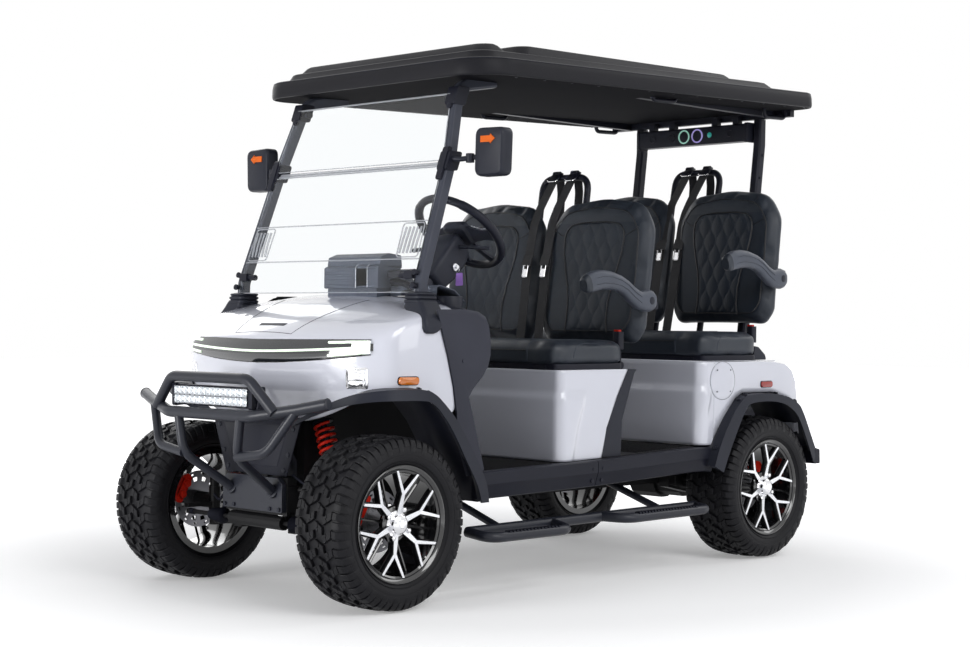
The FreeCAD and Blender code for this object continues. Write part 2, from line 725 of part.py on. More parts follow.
def side_steps():
    parts = []
    for side in (1, -1):
        x_out, x_in = side * 690, side * 560
        z = 225
        outer = [(x_in, -664, z + 8), (x_out, -690, z), (x_out, -280, z), (x_in, -230, z + 8)]
        rear = [(x_in, 40, z + 12), (side * 665, 75, z + 10), (side * 665, 560, z + 12), (x_in, 610, z + 14)]
        inner = rod((x_in, -664, z + 8), (x_in, 610, z + 14), STEP_TUBE)
        loops = [tube(outer, STEP_TUBE, 60), tube(rear, STEP_TUBE, 60), inner]
        for y in (-500, 400):
            loops.append(rod((x_in, y, z + 10), (side * (RAIL_X + 29.6), y, RAIL_BOTTOM + 35), 14))
        parts.append(fuse(loops))
    nodes["side_steps"] = group(parts)


def front_seat_base():
    outline = [(FRONT_SEAT_FRONT_Y, floor_z(-200) + 0.5), (FRONT_SEAT_FRONT_Y, SEAT_BASE_TOP),
               (196, SEAT_BASE_TOP), (40, floor_z(40) + 0.5)]
    block = prism_x(outline, -SEAT_BASE_X, SEAT_BASE_X)
    inner = prism_x([(FRONT_SEAT_FRONT_Y + PANEL, 0), (FRONT_SEAT_FRONT_Y + PANEL, 900), (400, 900),
                     (400, 0)], -SEAT_BASE_X + PANEL, SEAT_BASE_X - PANEL)
    nodes["front_seat_base"] = block.cut(inner)
    rear = [(196.5, SEAT_BASE_TOP), (250, SEAT_BASE_TOP), (160, floor_z(160) + 0.5),
            (45, floor_z(45) + 0.5)]
    trim = prism_x(rear, -SEAT_BASE_X + 10, SEAT_BASE_X - 10)
    slope = 90 / (SEAT_BASE_TOP - floor_z(160))
    hollow = prism_x([(-10, 900), (250 - PANEL + (900 - SEAT_BASE_TOP) * slope, 900),
                      (160 - PANEL - floor_z(160) * slope, 0), (-10, 0)],
                     -SEAT_BASE_X + 15, SEAT_BASE_X - 15)
    nodes["seat_base_trim"] = trim.cut(hollow)


def rear_block():
    """Outer form of the rear body."""
    return rounded_prism_x(rear_side(), [5, 30, 20, 40, 90, 60, 60, 10], -REAR_HALF_WIDTH, REAR_HALF_WIDTH)


def rear_side():
    top = REAR_DECK_Z
    return [(600, 478), (632, 810), (660, top - 30), (700, top), (1180, top), (1274, 749), (1318, 600),
            (1310, 480)]


def rear_body():
    top = REAR_DECK_Z
    half = REAR_HALF_WIDTH
    block = rear_block()
    wall = PANEL
    inner_side = [(600 + wall, 400), (632 + wall, 810), (660, top - 35), (700, top - wall),
                  (1175, top - wall), (1268, 749), (1312, 600), (1304, 400)]
    inner = rounded_prism_x(inner_side, [5, 30, 20, 40, 90, 60, 60, 10], -half + wall, half - wall)
    shell = block.cut(inner)
    for s in (1, -1):
        arch = [(640, 300), (762, 590), (860, 678), (1078, 678), (1150, 660), (1265, 586), (1335, 460),
                (1340, 300)]
        shell = shell.cut(prism_x(arch, s * 400, s * 800))
    nodes["rear_body"] = biggest(shell)


def rear_flares():
    parts = []
    for side in (1, -1):
        outline = [(618, 375), (768, 600), (862, 682), (1078, 682), (1150, 664), (1268, 590), (1325, 480),
                   (HALF_LENGTH, 440), (HALF_LENGTH, 372), (1338, 372), (1287, 470), (1220, 565), (1092, 649),
                   (870, 649), (830, 612), (691, 372)]
        parts.append(prism_x(outline, side * (REAR_HALF_WIDTH + 0.3), side * FLARE_OUT))
    nodes["rear_flares"] = group(parts)


# Seats

def cushion(y0, y1, z0, z1, half):
    block = box(-half, half, y0, y1, z0, z1)
    return block.makeFillet(24, [e for e in block.Edges if e.BoundBox.ZMin > z1 - 1])


def seat_back(y_low, z_low, y_high, z_high):
    """Leaning arched pad, built flat and tipped back."""
    length = math.hypot(y_high - y_low, z_high - z_low)
    half = BACK_WIDTH / 2
    outline = [(-half + 40, 0), (half - 40, 0), (half, 60), (half, length - 120), (half - 60, length - 20),
               (0, length), (-half + 60, length - 20), (-half, length - 120), (-half, 60)]
    pad = prism_y(outline, -BACK_THICK / 2, BACK_THICK / 2)
    lean = math.degrees(math.atan2(y_high - y_low, z_high - z_low))
    pad = turned(pad, (0, 0, 0), (1, 0, 0), -lean)
    return moved(pad, 0, y_low, z_low)


def seats():
    nodes["front_seat_cushion"] = cushion(-195, 200, SEAT_BASE_TOP + 0.3, 886, CUSHION_HALF_WIDTH)
    nodes["rear_seat_cushion"] = cushion(690, 1060, 848.3, 928, CUSHION_HALF_WIDTH)
    pads = []
    for ends in ((300, 905, 375, 1435), (1150, 985, 1215, 1518)):
        pads += [moved(seat_back(*ends), x=s * BACK_X) for s in (1, -1)]
    nodes["seat_backs"] = group(pads)


def belt_frames():
    """Tube hoops behind the seat backs that carry the backs and the shoulder belts."""
    frames = []
    rows = ((298, floor_z(300) + 2.3, 453, 1560, ((1030, 0), (1260, 0)), (285, 1050)),
            (1174, 805, 1343, 1640, ((1178, -17), (1300, -26)), (1150, 1155)))
    for y_low, z_low, y_top, z_top, bars, pivot in rows:
        half = HOOP_HALF_WIDTH
        hoop = tube([(-half, y_low, z_low), (-half, y_top, z_top), (half, y_top, z_top),
                     (half, y_low, z_low)], HOOP_RADIUS, 55)
        pieces = [hoop]
        for z, shift in bars:
            y = y_low + (y_top - y_low) * (z - z_low) / (z_top - z_low) + shift
            pieces.append(rod((-540, y, z), (540, y, z), 13))
        bar_y = y_low + (y_top - y_low) * (bars[0][0] - z_low) / (z_top - z_low) + bars[0][1]
        inner = ARMREST_X - ARMREST_WIDTH / 2 - BEARING_GAP
        for side in (1, -1):
            cheek = prism_x([(pivot[0] - 20, pivot[1] - 18), (bar_y + 12, bars[0][0] - 12),
                             (bar_y + 12, bars[0][0] + 14), (pivot[0] - 20, pivot[1] + 18)],
                            side * 537, side * 543)
            boss = rod((side * 540, pivot[0], pivot[1]), (side * inner, pivot[0], pivot[1]), 16)
            pieces += [cheek, boss]
        frames.append(biggest(fuse(pieces).cut(rear_block())))
    nodes["seat_frames"] = group(frames)


def armrest(side, pivot_y, pivot_z, tip_y, tip_z):
    """Padded arm on a pivot beside the seat back."""
    half = ARMREST_HEIGHT / 2
    outline = [(pivot_y + 55, pivot_z - half + 6), (pivot_y + 60, pivot_z + half - 12),
               (pivot_y - 20, pivot_z + half), (tip_y + 170, tip_z + half + 12),
               (tip_y + 40, tip_z + half - 6), (tip_y, tip_z + 5), (tip_y + 25, tip_z - half),
               (tip_y + 160, tip_z - half + 14), (pivot_y - 60, pivot_z - half)]
    return prism_x(outline, side * (ARMREST_X - ARMREST_WIDTH / 2), side * (ARMREST_X + ARMREST_WIDTH / 2))


def armrests():
    for row, place in (("front", (285, 1050, -100, 1105)), ("rear", (1150, 1155, 760, 1205))):
        for label, side in (("left", 1), ("right", -1)):
            nodes[f"armrest_{row}_{label}"] = armrest(side, *place)


# Screen, mirrors and canopy

def strut_path(side):
    return [(side * 490, -834, COWL_TOP - 16), (side * 489, -832, 1100), (side * 469, -683, 1516),
            (side * 419, -592, 1800), (side * 405, -400, ROOF_FRAME_Z - STRUT_DEPTH / 2 - 1.5)]


def struts():
    parts = [flat_bar(strut_path(s), STRUT_WIDTH, STRUT_DEPTH, 60).cut(cowl_block(0)) for s in (1, -1)]
    nodes["front_struts"] = group([biggest(part) for part in parts])
    rear = []
    for s in (1, -1):
        x = s * REAR_STRUT_X
        rear.append(flat_bar([(x, 1220, 800), (x, 1344, 1744), (x, 1346, ROOF_FRAME_Z - 1)], 40, 45, 60))
    nodes["rear_struts"] = group([biggest(strut.cut(rear_block())) for strut in rear])


def screen_pane(low, high, half_low, half_high):
    """Clear sheet between two heights of the struts; low and high are (y, z)."""
    lean = V(0, high[0] - low[0], high[1] - low[1]).normalize()
    normal = V(0, lean.z, -lean.y) * SCREEN_THICK
    corners = [V(-half_low, low[0], low[1]), V(half_low, low[0], low[1]), V(half_high, high[0], high[1]),
               V(-half_high, high[0], high[1])]
    return Part.Face(Part.makePolygon(corners + [corners[0]])).extrude(normal * -1)


def strut_front(z):
    """Depth of the struts' front faces at a height."""
    (_, y0, z0), (_, y1, z1) = strut_path(1)[1:3] if z < strut_path(1)[2][2] else strut_path(1)[2:4]
    slope = (y1 - y0) / (z1 - z0)
    return y0 + slope * (z - z0) - STRUT_DEPTH / 2 * math.sqrt(1 + slope * slope) - BEARING_GAP


def windshield():
    """Two clear sheets clamped to the fronts of the struts, and the rail between them."""
    nodes["windshield_lower"] = screen_pane((strut_front(1060), 1060), (strut_front(1500), 1500), 486, 466)
    nodes["windshield_upper"] = screen_pane((strut_front(1524), 1524), (strut_front(1768), 1768), 464, 424)
    rail = rod((-470, -690, 1512), (470, -690, 1512), 9).cut(nodes["front_struts"])
    nodes["front_struts"] = group([nodes["front_struts"], biggest(rail)])


def mirrors():
    parts = []
    for side in (1, -1):
        outline = [(-30, -28), (75, -28), (95, -8), (95, 20), (85, 28), (-40, 28), (-50, 18), (-50, -8)]
        head = prism_z(outline, -85, 85)
        head = moved(head if side > 0 else mirror_x(head), side * 610, -640, 1550)
        arm = rod((side * 475, -690, 1530), (side * 580, -640, 1540), 10)
        parts.append(fuse([head, arm]).cut(nodes["front_struts"]))
    nodes["mirrors"] = group([biggest(part) for part in parts])


def roof():
    front, rear, half = ROOF_FRONT_Y, ROOF_REAR_Y, ROOF_HALF_WIDTH
    base = rounded_prism_z([(-half, front), (half, front), (half, rear), (-half, rear)], 60,
                           ROOF_RIM_Z, ROOF_RIM_Z + ROOF_RIM_HEIGHT)
    inset = 70
    step = rounded_prism_z([(-half + inset, front + inset), (half - inset, front + inset),
                            (half - inset, rear - inset), (-half + inset, rear - inset)], 50,
                           ROOF_RIM_Z + ROOF_RIM_HEIGHT, ROOF_TOP_Z - 20)
    whole = fuse([base, step])
    t = ROOF_SHELL
    lower = rounded_prism_z([(-half + t, front + t), (half - t, front + t), (half - t, rear - t),
                             (-half + t, rear - t)], 52, ROOF_RIM_Z - 1, ROOF_RIM_Z + ROOF_RIM_HEIGHT - t)
    upper = rounded_prism_z([(-half + inset + t, front + inset + t), (half - inset - t, front + inset + t),
                             (half - inset - t, rear - inset - t), (-half + inset + t, rear - inset - t)],
                            42, ROOF_RIM_Z + ROOF_RIM_HEIGHT - t - 1, ROOF_TOP_Z - 20 - t)
    nodes["roof"] = whole.cut(lower).cut(upper)
    x = 400
    roof_frame_top = ROOF_FRAME_Z + ROOF_FRAME_SIZE
    rails = []
    for s in (1, -1):
        rails.append(box(s * x - 15, s * x + 15, -620, 1366, ROOF_FRAME_Z, roof_frame_top))
    for y in (-560, 380, 1350):
        rails.append(box(-560, 560, y - 15, y + 15, ROOF_FRAME_Z, roof_frame_top))
    nodes["roof_frame"] = fuse(rails)
    nodes["soundbar"] = box(-309.6, 309.6, 1280, 1345, 1760, 1838)


# Front bumper

def winch_holes():
    """Four through holes of the front accessory pattern."""
    holes = []
    for x in (-WINCH_SPACING_X / 2, WINCH_SPACING_X / 2):
        for z in (-WINCH_SPACING_Z / 2, WINCH_SPACING_Z / 2):
            holes.append(Part.makeCylinder(WINCH_HOLE, 60, V(x, FRAME_FRONT - 30, WINCH_Z + z), Y_AXIS))
    return group(holes)


def bumper():
    r = BUMPER_TUBE
    parts = []
    main = [(-508, -1262, 690), (-400, -1300, 668), (-230, BUMPER_Y, 640), (230, BUMPER_Y, 640),
            (400, -1300, 668), (508, -1262, 690)]
    parts.append(tube(main, r, 120))
    hoop = [(-330, BUMPER_Y + 20, 655), (-215, BUMPER_Y, 765), (215, BUMPER_Y, 765), (330, BUMPER_Y + 20, 655)]
    parts.append(tube(hoop, r, 60))
    for side in (1, -1):
        leg = [(side * 175, BUMPER_Y, 640), (side * 150, BUMPER_Y + 5, 500), (side * 115, -1164, 370)]
        parts.append(tube(leg, r * 0.8, 80))
        brace = [(side * 400, -1300, 668), (side * 300, BUMPER_Y + 10, 520), (side * 150, BUMPER_Y + 5, 500)]
        parts.append(tube(brace, r * 0.8, 60))
    plate = box(-165, 165, -1170, FRAME_FRONT - 0.3, 300, 420)
    parts.append(plate)
    nodes["front_bumper"] = fuse(parts).cut(winch_holes())
    bar = box(-225, 225, -1350, -1290, 662, 740)
    nodes["light_bar"] = bar.cut(fuse(parts))


def build():
    wheels()
    knuckles()
    front_suspension()
    steering_gear()
    steering_wheel()
    steering_column()
    chassis()
    rear_axle()
    front_flares()
    front_body()
    valance()
    lamps()
    cowl_sides()
    dashboard()
    floor_pan()
    sills()
    side_steps()
    front_seat_base()
    rear_body()
    rear_flares()
    seats()
    belt_frames()
    armrests()
    struts()
    windshield()
    mirrors()
    roof()
    bumper()


def export():
    os.makedirs("parts", exist_ok=True)
    for name, shape in nodes.items():
        shape.exportStep(os.path.join("parts", name + ".step"))


build()
export()
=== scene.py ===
"""Four-seat golf cart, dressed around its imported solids. Lengths in the shape functions are millimetres."""
import math

import bmesh
import bpy
import numpy as np
from mathutils import Matrix, Vector
from mathutils.bvhtree import BVHTree


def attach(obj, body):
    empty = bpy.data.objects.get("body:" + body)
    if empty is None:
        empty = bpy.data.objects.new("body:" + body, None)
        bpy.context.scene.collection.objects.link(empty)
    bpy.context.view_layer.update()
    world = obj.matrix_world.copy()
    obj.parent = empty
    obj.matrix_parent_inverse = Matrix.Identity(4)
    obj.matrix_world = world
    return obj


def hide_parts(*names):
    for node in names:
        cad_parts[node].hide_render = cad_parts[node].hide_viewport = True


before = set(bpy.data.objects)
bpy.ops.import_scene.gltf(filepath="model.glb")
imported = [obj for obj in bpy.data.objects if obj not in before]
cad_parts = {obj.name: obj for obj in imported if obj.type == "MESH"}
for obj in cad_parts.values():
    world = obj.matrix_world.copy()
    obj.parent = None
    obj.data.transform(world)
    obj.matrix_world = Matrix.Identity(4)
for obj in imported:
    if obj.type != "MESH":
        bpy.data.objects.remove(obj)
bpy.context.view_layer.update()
MM = 0.001
TAU = 2 * math.pi


# Materials

def new_material(name, color, roughness, metallic=0.0, coat=0.0, **sockets):
    """Principled material; returns it with its node tree and shader."""
    material = bpy.data.materials.new(name)
    material.use_nodes = True
    tree = material.node_tree
    shader = tree.nodes["Principled BSDF"]
    shader.inputs["Base Color"].default_value = (*color, 1)
    shader.inputs["Roughness"].default_value = roughness
    shader.inputs["Metallic"].default_value = metallic
    shader.inputs["Coat Weight"].default_value = coat
    shader.inputs["Coat Roughness"].default_value = 0.04
    for key, value in sockets.items():
        shader.inputs[key.replace("_", " ")].default_value = value
    material.diffuse_color = (*color, 1)
    return material, tree, shader


def texture(tree, kind, scale, **settings):
    """Texture node read from the piece's own coordinates."""
    place = tree.nodes.new("ShaderNodeTexCoord")
    node = tree.nodes.new("ShaderNodeTex" + kind)
    for key, value in settings.items():
        if key in node.inputs:
            node.inputs[key].default_value = value
        else:
            setattr(node, key, value)
    node.inputs["Scale"].default_value = scale
    tree.links.new(place.outputs["Object"], node.inputs["Vector"])
    return node


def ramp(tree, source, low, high, start=0.3, stop=0.7):
    """Colour ramp between two colours."""
    node = tree.nodes.new("ShaderNodeValToRGB")
    node.color_ramp.elements[0].position = start
    node.color_ramp.elements[1].position = stop
    node.color_ramp.elements[0].color = (*low, 1)
    node.color_ramp.elements[1].color = (*high, 1)
    tree.links.new(source, node.inputs["Fac"])
    return node.outputs["Color"]


def spread(tree, source, low, high):
    """Maps a 0 to 1 value to a range."""
    node = tree.nodes.new("ShaderNodeMapRange")
    node.inputs["To Min"].default_value = low
    node.inputs["To Max"].default_value = high
    tree.links.new(source, node.inputs["Value"])
    return node.outputs["Result"]


def bump(tree, shader, height, distance, strength=1.0):
    node = tree.nodes.new("ShaderNodeBump")
    node.inputs["Distance"].default_value = distance
    node.inputs["Strength"].default_value = strength
    tree.links.new(height, node.inputs["Height"])
    tree.links.new(node.outputs["Normal"], shader.inputs["Normal"])


def tinted(color, factor):
    return tuple(c * factor for c in color)


def grained(name, color, roughness, grain=900.0, depth=0.00006, vary=0.12, specular=0.16, **more):
    """Moulded plastic or powder coat: fine grain, slight drift of colour and gloss."""
    material, tree, shader = new_material(name, color, roughness, Specular_IOR_Level=specular, **more)
    fine = texture(tree, "Noise", grain, Detail=3.0)
    broad = texture(tree, "Noise", 5.0, Detail=4.0)
    tree.links.new(ramp(tree, broad.outputs["Fac"], tinted(color, 1 - vary), tinted(color, 1 + vary)),
                   shader.inputs["Base Color"])
    tree.links.new(spread(tree, broad.outputs["Fac"], roughness - 0.05, roughness + 0.05),
                   shader.inputs["Roughness"])
    bump(tree, shader, fine.outputs["Fac"], depth)
    return material


def paint(name, color, roughness=0.13):
    """Gloss body paint under clear lacquer, with a trace of orange peel."""
    material, tree, shader = new_material(name, color, roughness + 0.12, coat=1.0)
    peel = texture(tree, "Noise", 55.0, Detail=1.0)
    broad = texture(tree, "Noise", 2.5, Detail=2.0)
    tree.links.new(ramp(tree, broad.outputs["Fac"], tinted(color, 0.985), color), shader.inputs["Base Color"])
    bump(tree, shader, peel.outputs["Fac"], 0.00005, 0.4)
    return material


def leather(name, color, roughness=0.42):
    """Upholstery leather: pebbled grain with finer creases between."""
    material, tree, shader = new_material(name, color, roughness, Specular_IOR_Level=0.32)
    cells = texture(tree, "Voronoi", 420.0, feature="DISTANCE_TO_EDGE")
    broad = texture(tree, "Noise", 7.0, Detail=5.0)
    tree.links.new(ramp(tree, broad.outputs["Fac"], tinted(color, 0.86), tinted(color, 1.14)),
                   shader.inputs["Base Color"])
    tree.links.new(spread(tree, broad.outputs["Fac"], roughness - 0.06, roughness + 0.08),
                   shader.inputs["Roughness"])
    bump(tree, shader, cells.outputs["Distance"], 0.00035, 0.5)
    return material


def webbing(name, color):
    """Woven belt web: ribs across and a finer twill along."""
    material, tree, shader = new_material(name, color, 0.7, Sheen_Weight=0.05)
    ribs = texture(tree, "Wave", 160.0, bands_direction="Z", Distortion=0.3)
    tree.links.new(ramp(tree, ribs.outputs["Fac"], tinted(color, 0.7), tinted(color, 1.5)),
                   shader.inputs["Base Color"])
    bump(tree, shader, ribs.outputs["Fac"], 0.0004)
    return material


def brushed(name, color, roughness, scale=(4.0, 400.0, 400.0)):
    """Machined metal with fine tool marks along one way."""
    material, tree, shader = new_material(name, color, roughness, metallic=1.0)
    place = tree.nodes.new("ShaderNodeTexCoord")
    stretch = tree.nodes.new("ShaderNodeMapping")
    stretch.inputs["Scale"].default_value = scale
    marks = tree.nodes.new("ShaderNodeTexNoise")
    marks.inputs["Scale"].default_value = 1.0
    tree.links.new(place.outputs["Object"], stretch.inputs["Vector"])
    tree.links.new(stretch.outputs["Vector"], marks.inputs["Vector"])
    tree.links.new(spread(tree, marks.outputs["Fac"], roughness - 0.08, roughness + 0.12),
                   shader.inputs["Roughness"])
    bump(tree, shader, marks.outputs["Fac"], 0.00004)
    return material


def clear(name, color, roughness=0.02, ior=1.25):
    """Clear sheet or lens."""
    material, tree, shader = new_material(name, color, roughness, Transmission_Weight=1.0, IOR=ior)
    scuffs = texture(tree, "Noise", 12.0, Detail=3.0)
    tree.links.new(spread(tree, scuffs.outputs["Fac"], roughness, roughness + 0.03), shader.inputs["Roughness"])
    return material


def glowing(name, color, strength, base=(0.8, 0.8, 0.8)):
    """Lit lamp element with a slightly uneven glow."""
    material, tree, shader = new_material(name, base, 0.25, Emission_Strength=strength)
    cells = texture(tree, "Noise", 60.0)
    tree.links.new(ramp(tree, cells.outputs["Fac"], tinted(color, 0.8), color), shader.inputs["Emission Color"])
    return material


WHITE = paint("body_paint", (0.70, 0.715, 0.80))
BLACK = grained("black_trim", (0.011, 0.012, 0.020), 0.42)
DARK = grained("dark_plastic", (0.021, 0.023, 0.033), 0.40)
PANEL = grained("cowl_side_plastic", (0.034, 0.036, 0.050), 0.42)
ROOF = grained("roof_plastic", (0.010, 0.010, 0.013), 0.50, grain=500.0, depth=0.00012, specular=0.14)
LINING = grained("roof_lining", (0.006, 0.006, 0.008), 0.85, grain=500.0, depth=0.00012, specular=0.03)
STEEL = grained("powder_coat", (0.018, 0.020, 0.029), 0.36, grain=1200.0, depth=0.00004, specular=0.3)
STRUT = grained("strut_coat", (0.056, 0.061, 0.080), 0.38, grain=1200.0, depth=0.00004)
FRAME = grained("chassis_paint", (0.009, 0.009, 0.010), 0.5)
MAT = grained("floor_rubber", (0.010, 0.010, 0.012), 0.6, grain=300.0, depth=0.0002)
RUBBER = grained("tyre_rubber", (0.009, 0.009, 0.011), 0.5, grain=250.0, depth=0.00015, vary=0.25)
SEAT = leather("seat_leather", (0.013, 0.019, 0.030))
BOLSTER = leather("bolster_leather", (0.025, 0.031, 0.042))
ARM = leather("armrest_skin", (0.066, 0.075, 0.098), 0.45)
THREAD = grained("seam_thread", (0.065, 0.075, 0.095), 0.7)
SEAM = grained("body_seam", (0.20, 0.21, 0.24), 0.5)
PIPING = leather("piping_leather", (0.012, 0.012, 0.015), 0.35)
WEB = webbing("belt_web", (0.0035, 0.0035, 0.006))
CHROME = brushed("chrome", (0.80, 0.80, 0.82), 0.10, (60.0, 60.0, 60.0))
SILVER = brushed("machined_alloy", (0.72, 0.73, 0.76), 0.26)
GLOSS = new_material("gloss_black", (0.006, 0.006, 0.007), 0.12, coat=1.0)[0]
DISC = brushed("disc_steel", (0.25, 0.25, 0.27), 0.35)
RED = grained("red_enamel", (0.62, 0.020, 0.008), 0.30, vary=0.08)
SCREEN = clear("screen_sheet", (0.96, 0.98, 0.99))
EDGE = new_material("sheet_edge", (0.50, 0.52, 0.56), 0.35, Alpha=0.55)[0]
LENS = clear("lamp_lens", (0.95, 0.97, 0.98), 0.03, 1.3)
SMOKE = new_material("smoked_lens", (0.010, 0.012, 0.015), 0.08, coat=1.0)[0]
GLOW = glowing("lamp_glow", (0.78, 1.0, 0.72), 1.0)
LIT = glowing("lamp_lit", (0.93, 1.0, 0.93), 1.3)
AMBER = grained("amber_lens", (0.75, 0.20, 0.015), 0.18, grain=200.0, depth=0.0002, coat=1.0)
REDLENS = grained("red_lens", (0.36, 0.020, 0.015), 0.18, grain=200.0, depth=0.0002, coat=1.0)
ORANGE = grained("orange_repeater", (0.85, 0.16, 0.02), 0.3)


# Shapes

class Shape:
    """Collects faces in millimetres; each face has a number into the list of materials."""

    def __init__(self):
        self.verts = []
        self.faces = []
        self.slots = []

    def add(self, verts, faces, slot=0):
        start = len(self.verts)
        self.verts += [tuple(v) for v in verts]
        for face in faces:
            self.faces.append([start + i for i in face])
            self.slots.append(slot)
        return self

    def grid(self, rows, slot=0, ring=False, loop=False, caps=False):
        """Rows of equal length; ring closes each row, loop joins the last row to the first."""
        n = len(rows[0])
        faces = []
        for i in range(len(rows) if loop else len(rows) - 1):
            k = (i + 1) % len(rows)
            for j in range(n if ring else n - 1):
                m = (j + 1) % n
                faces.append((i * n + j, i * n + m, k * n + m, k * n + j))
        if caps:
            faces.append(tuple(reversed(range(n))))
            faces.append(tuple((len(rows) - 1) * n + j for j in range(n)))
        return self.add([p for row in rows for p in row], faces, slot)

    def prism(self, outline, axis, low, high, slot=0, inset=None):
        """Outline extruded along an axis; inset = (scale, depth) narrows the far end."""
        def at(pair, level, share=1.0):
            centre = [sum(c) / len(outline) for c in zip(*outline)]
            a, b = (centre[i] + (pair[i] - centre[i]) * share for i in (0, 1))
            return {"x": (level, a, b), "y": (a, level, b), "z": (a, b, level)}[axis]
        rows = [[at(p, low) for p in outline], [at(p, high) for p in outline]]
        if inset:
            rows.append([at(p, high + inset[1], inset[0]) for p in outline])
        return self.grid(rows, slot, ring=True, caps=True)

    def box(self, x0, x1, y0, y1, z0, z1, slot=0):
        return self.prism([(x0, y0), (x1, y0), (x1, y1), (x0, y1)], "z", z0, z1, slot)

    def tube(self, path, radius, sides=16, slot=0, caps=True, flat=None, up=None):
        """Round tube, or a flat section (width, thickness), along points."""
        path = [Vector(p) for p in path]
        rows = []
        before = None
        for i, p in enumerate(path):
            along = (path[min(i + 1, len(path) - 1)] - path[max(i - 1, 0)]).normalized()
            if before is None:
                hint = Vector(up) if up else Vector((0, 0, 1) if abs(along.z) < 0.9 else (1, 0, 0))
                side = along.cross(hint).normalized()
            else:
                side = (before - along * before.dot(along)).normalized()
            before = side
            other = along.cross(side)
            r = radius[i] if isinstance(radius, (list, tuple)) else radius
            if flat:
                a, b = flat[0] / 2, flat[1] / 2
                c = min(a, b) * 0.35
                corners = [(-a, -b + c), (-a + c, -b), (a - c, -b), (a, -b + c), (a, b - c), (a - c, b),
                           (-a + c, b), (-a, b - c)]
                rows.append([p + side * u + other * v for u, v in corners])
            else:
                rows.append([p + side * (r * math.cos(TAU * k / sides)) + other * (r * math.sin(TAU * k / sides))
                             for k in range(sides)])
        return self.grid(rows, slot, ring=True, caps=caps)

    def turn(self, profile, centre, axis, steps=48, slot=0, closed=True):
        """Profile of (distance along axis, radius) turned about the axis."""
        centre = Vector(centre)
        axis = Vector(axis).normalized()
        first = axis.cross(Vector((0, 0, 1)) if abs(axis.z) < 0.9 else Vector((1, 0, 0))).normalized()
        second = axis.cross(first)
        rows = [[centre + axis * d + first * (r * math.cos(TAU * k / steps)) + second * (r * math.sin(TAU * k / steps))
                 for d, r in profile] for k in range(steps)]
        return self.grid(rows, slot, ring=closed, loop=True)

    def copies(self, matrices):
        """This shape repeated with each matrix (in millimetres)."""
        made = Shape()
        for matrix in matrices:
            flip = matrix.determinant() < 0
            start = len(made.verts)
            made.verts += [tuple(matrix @ Vector(v)) for v in self.verts]
            for face, slot in zip(self.faces, self.slots):
                ids = [start + i for i in face]
                made.faces.append(ids[::-1] if flip else ids)
                made.slots.append(slot)
        return made

    def join(self, other):
        start = len(self.verts)
        self.verts += other.verts
        self.faces += [[start + i for i in face] for face in other.faces]
        self.slots += other.slots
        return self

    def both(self):
        """Adds the mirror image across the centre plane."""
        return self.join(self.copies([Matrix.Diagonal((-1, 1, 1, 1))]))

    def make(self, name, materials, body="root", replaces=(), slot=None, bevel=0.0, smooth=35, levels=0,
             weld=False):
        mesh = bpy.data.meshes.new(name)
        mesh.from_pydata([(x * MM, y * MM, z * MM) for x, y, z in self.verts], [], self.faces)
        materials = materials if isinstance(materials, (list, tuple)) else [materials]
        for material in materials:
            mesh.materials.append(material)
        mesh.polygons.foreach_set("material_index", self.slots)
        work = bmesh.new()
        work.from_mesh(mesh)
        if weld:
            bmesh.ops.remove_doubles(work, verts=work.verts, dist=0.0002)
        bmesh.ops.recalc_face_normals(work, faces=work.faces)
        work.to_mesh(mesh)
        work.free()
        mesh.polygons.foreach_set("use_smooth", [True] * len(mesh.polygons))
        if smooth and not levels:
            mesh.set_sharp_from_angle(angle=math.radians(smooth))
        piece = bpy.data.objects.new(name, mesh)
        bpy.context.scene.collection.objects.link(piece)
        if levels:
            rounding = piece.modifiers.new("round", "SUBSURF")
            rounding.levels = rounding.render_levels = levels
        if bevel:
            edge = piece.modifiers.new("edge", "BEVEL")
            edge.width = bevel * MM
            edge.segments = 2
            edge.limit_method = "ANGLE"
            edge.angle_limit = math.radians(32)
            edge.harden_normals = True
        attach(piece, body)
        if replaces:
            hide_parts(*replaces)
        return piece


def arc_path(points, bend, steps=6):
    """Corner points with each inner corner rounded."""
    points = [Vector(p) for p in points]
    bends = bend if isinstance(bend, (list, tuple)) else [bend] * len(points)
    path = [points[0]]
    for i in range(1, len(points) - 1):
        here = points[i]
        a, b = points[i - 1] - here, points[i + 1] - here
        turn = math.pi - a.angle(b)
        if turn < 0.01:
            path.append(here)
            continue
        reach = min(bends[i] * math.tan(turn / 2), 0.48 * a.length, 0.48 * b.length)
        p0, p1 = here + a.normalized() * reach, here + b.normalized() * reach
        for k in range(steps + 1):
            t = k / steps
            path.append(p0 * (1 - t) ** 2 + here * (2 * t * (1 - t)) + p1 * t ** 2)
    path.append(points[-1])
    return path


def rounded(outline, radius, steps=5):
    """Closed 2D outline with rounded corners."""
    points = [Vector((a, b, 0)) for a, b in outline]
    n = len(points)
    made = []
    for i in range(n):
        here = points[i]
        a, b = points[i - 1] - here, points[(i + 1) % n] - here
        turn = math.pi - a.angle(b)
        r = radius[i] if isinstance(radius, (list, tuple)) else radius
        if r <= 0 or turn < 0.02:
            made.append((here.x, here.y))
            continue
        reach = min(r * math.tan(turn / 2), 0.48 * a.length, 0.48 * b.length)
        p0, p1 = here + a.normalized() * reach, here + b.normalized() * reach
        for k in range(steps + 1):
            t = k / steps
            q = p0 * (1 - t) ** 2 + here * (2 * t * (1 - t)) + p1 * t ** 2
            made.append((q.x, q.y))
    return made


def lerp(table, x):
    """Value at x in a table of (x, value) pairs, straight between them."""
    return float(np.interp(x, [a for a, _ in table], [b for _, b in table]))


def repaint(node, material):
    """Gives a CAD node a finished material."""
    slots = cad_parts[node].data.materials
    slots.clear()
    slots.append(material)


# Wheels, drawn on their own centre with the outer face towards +X

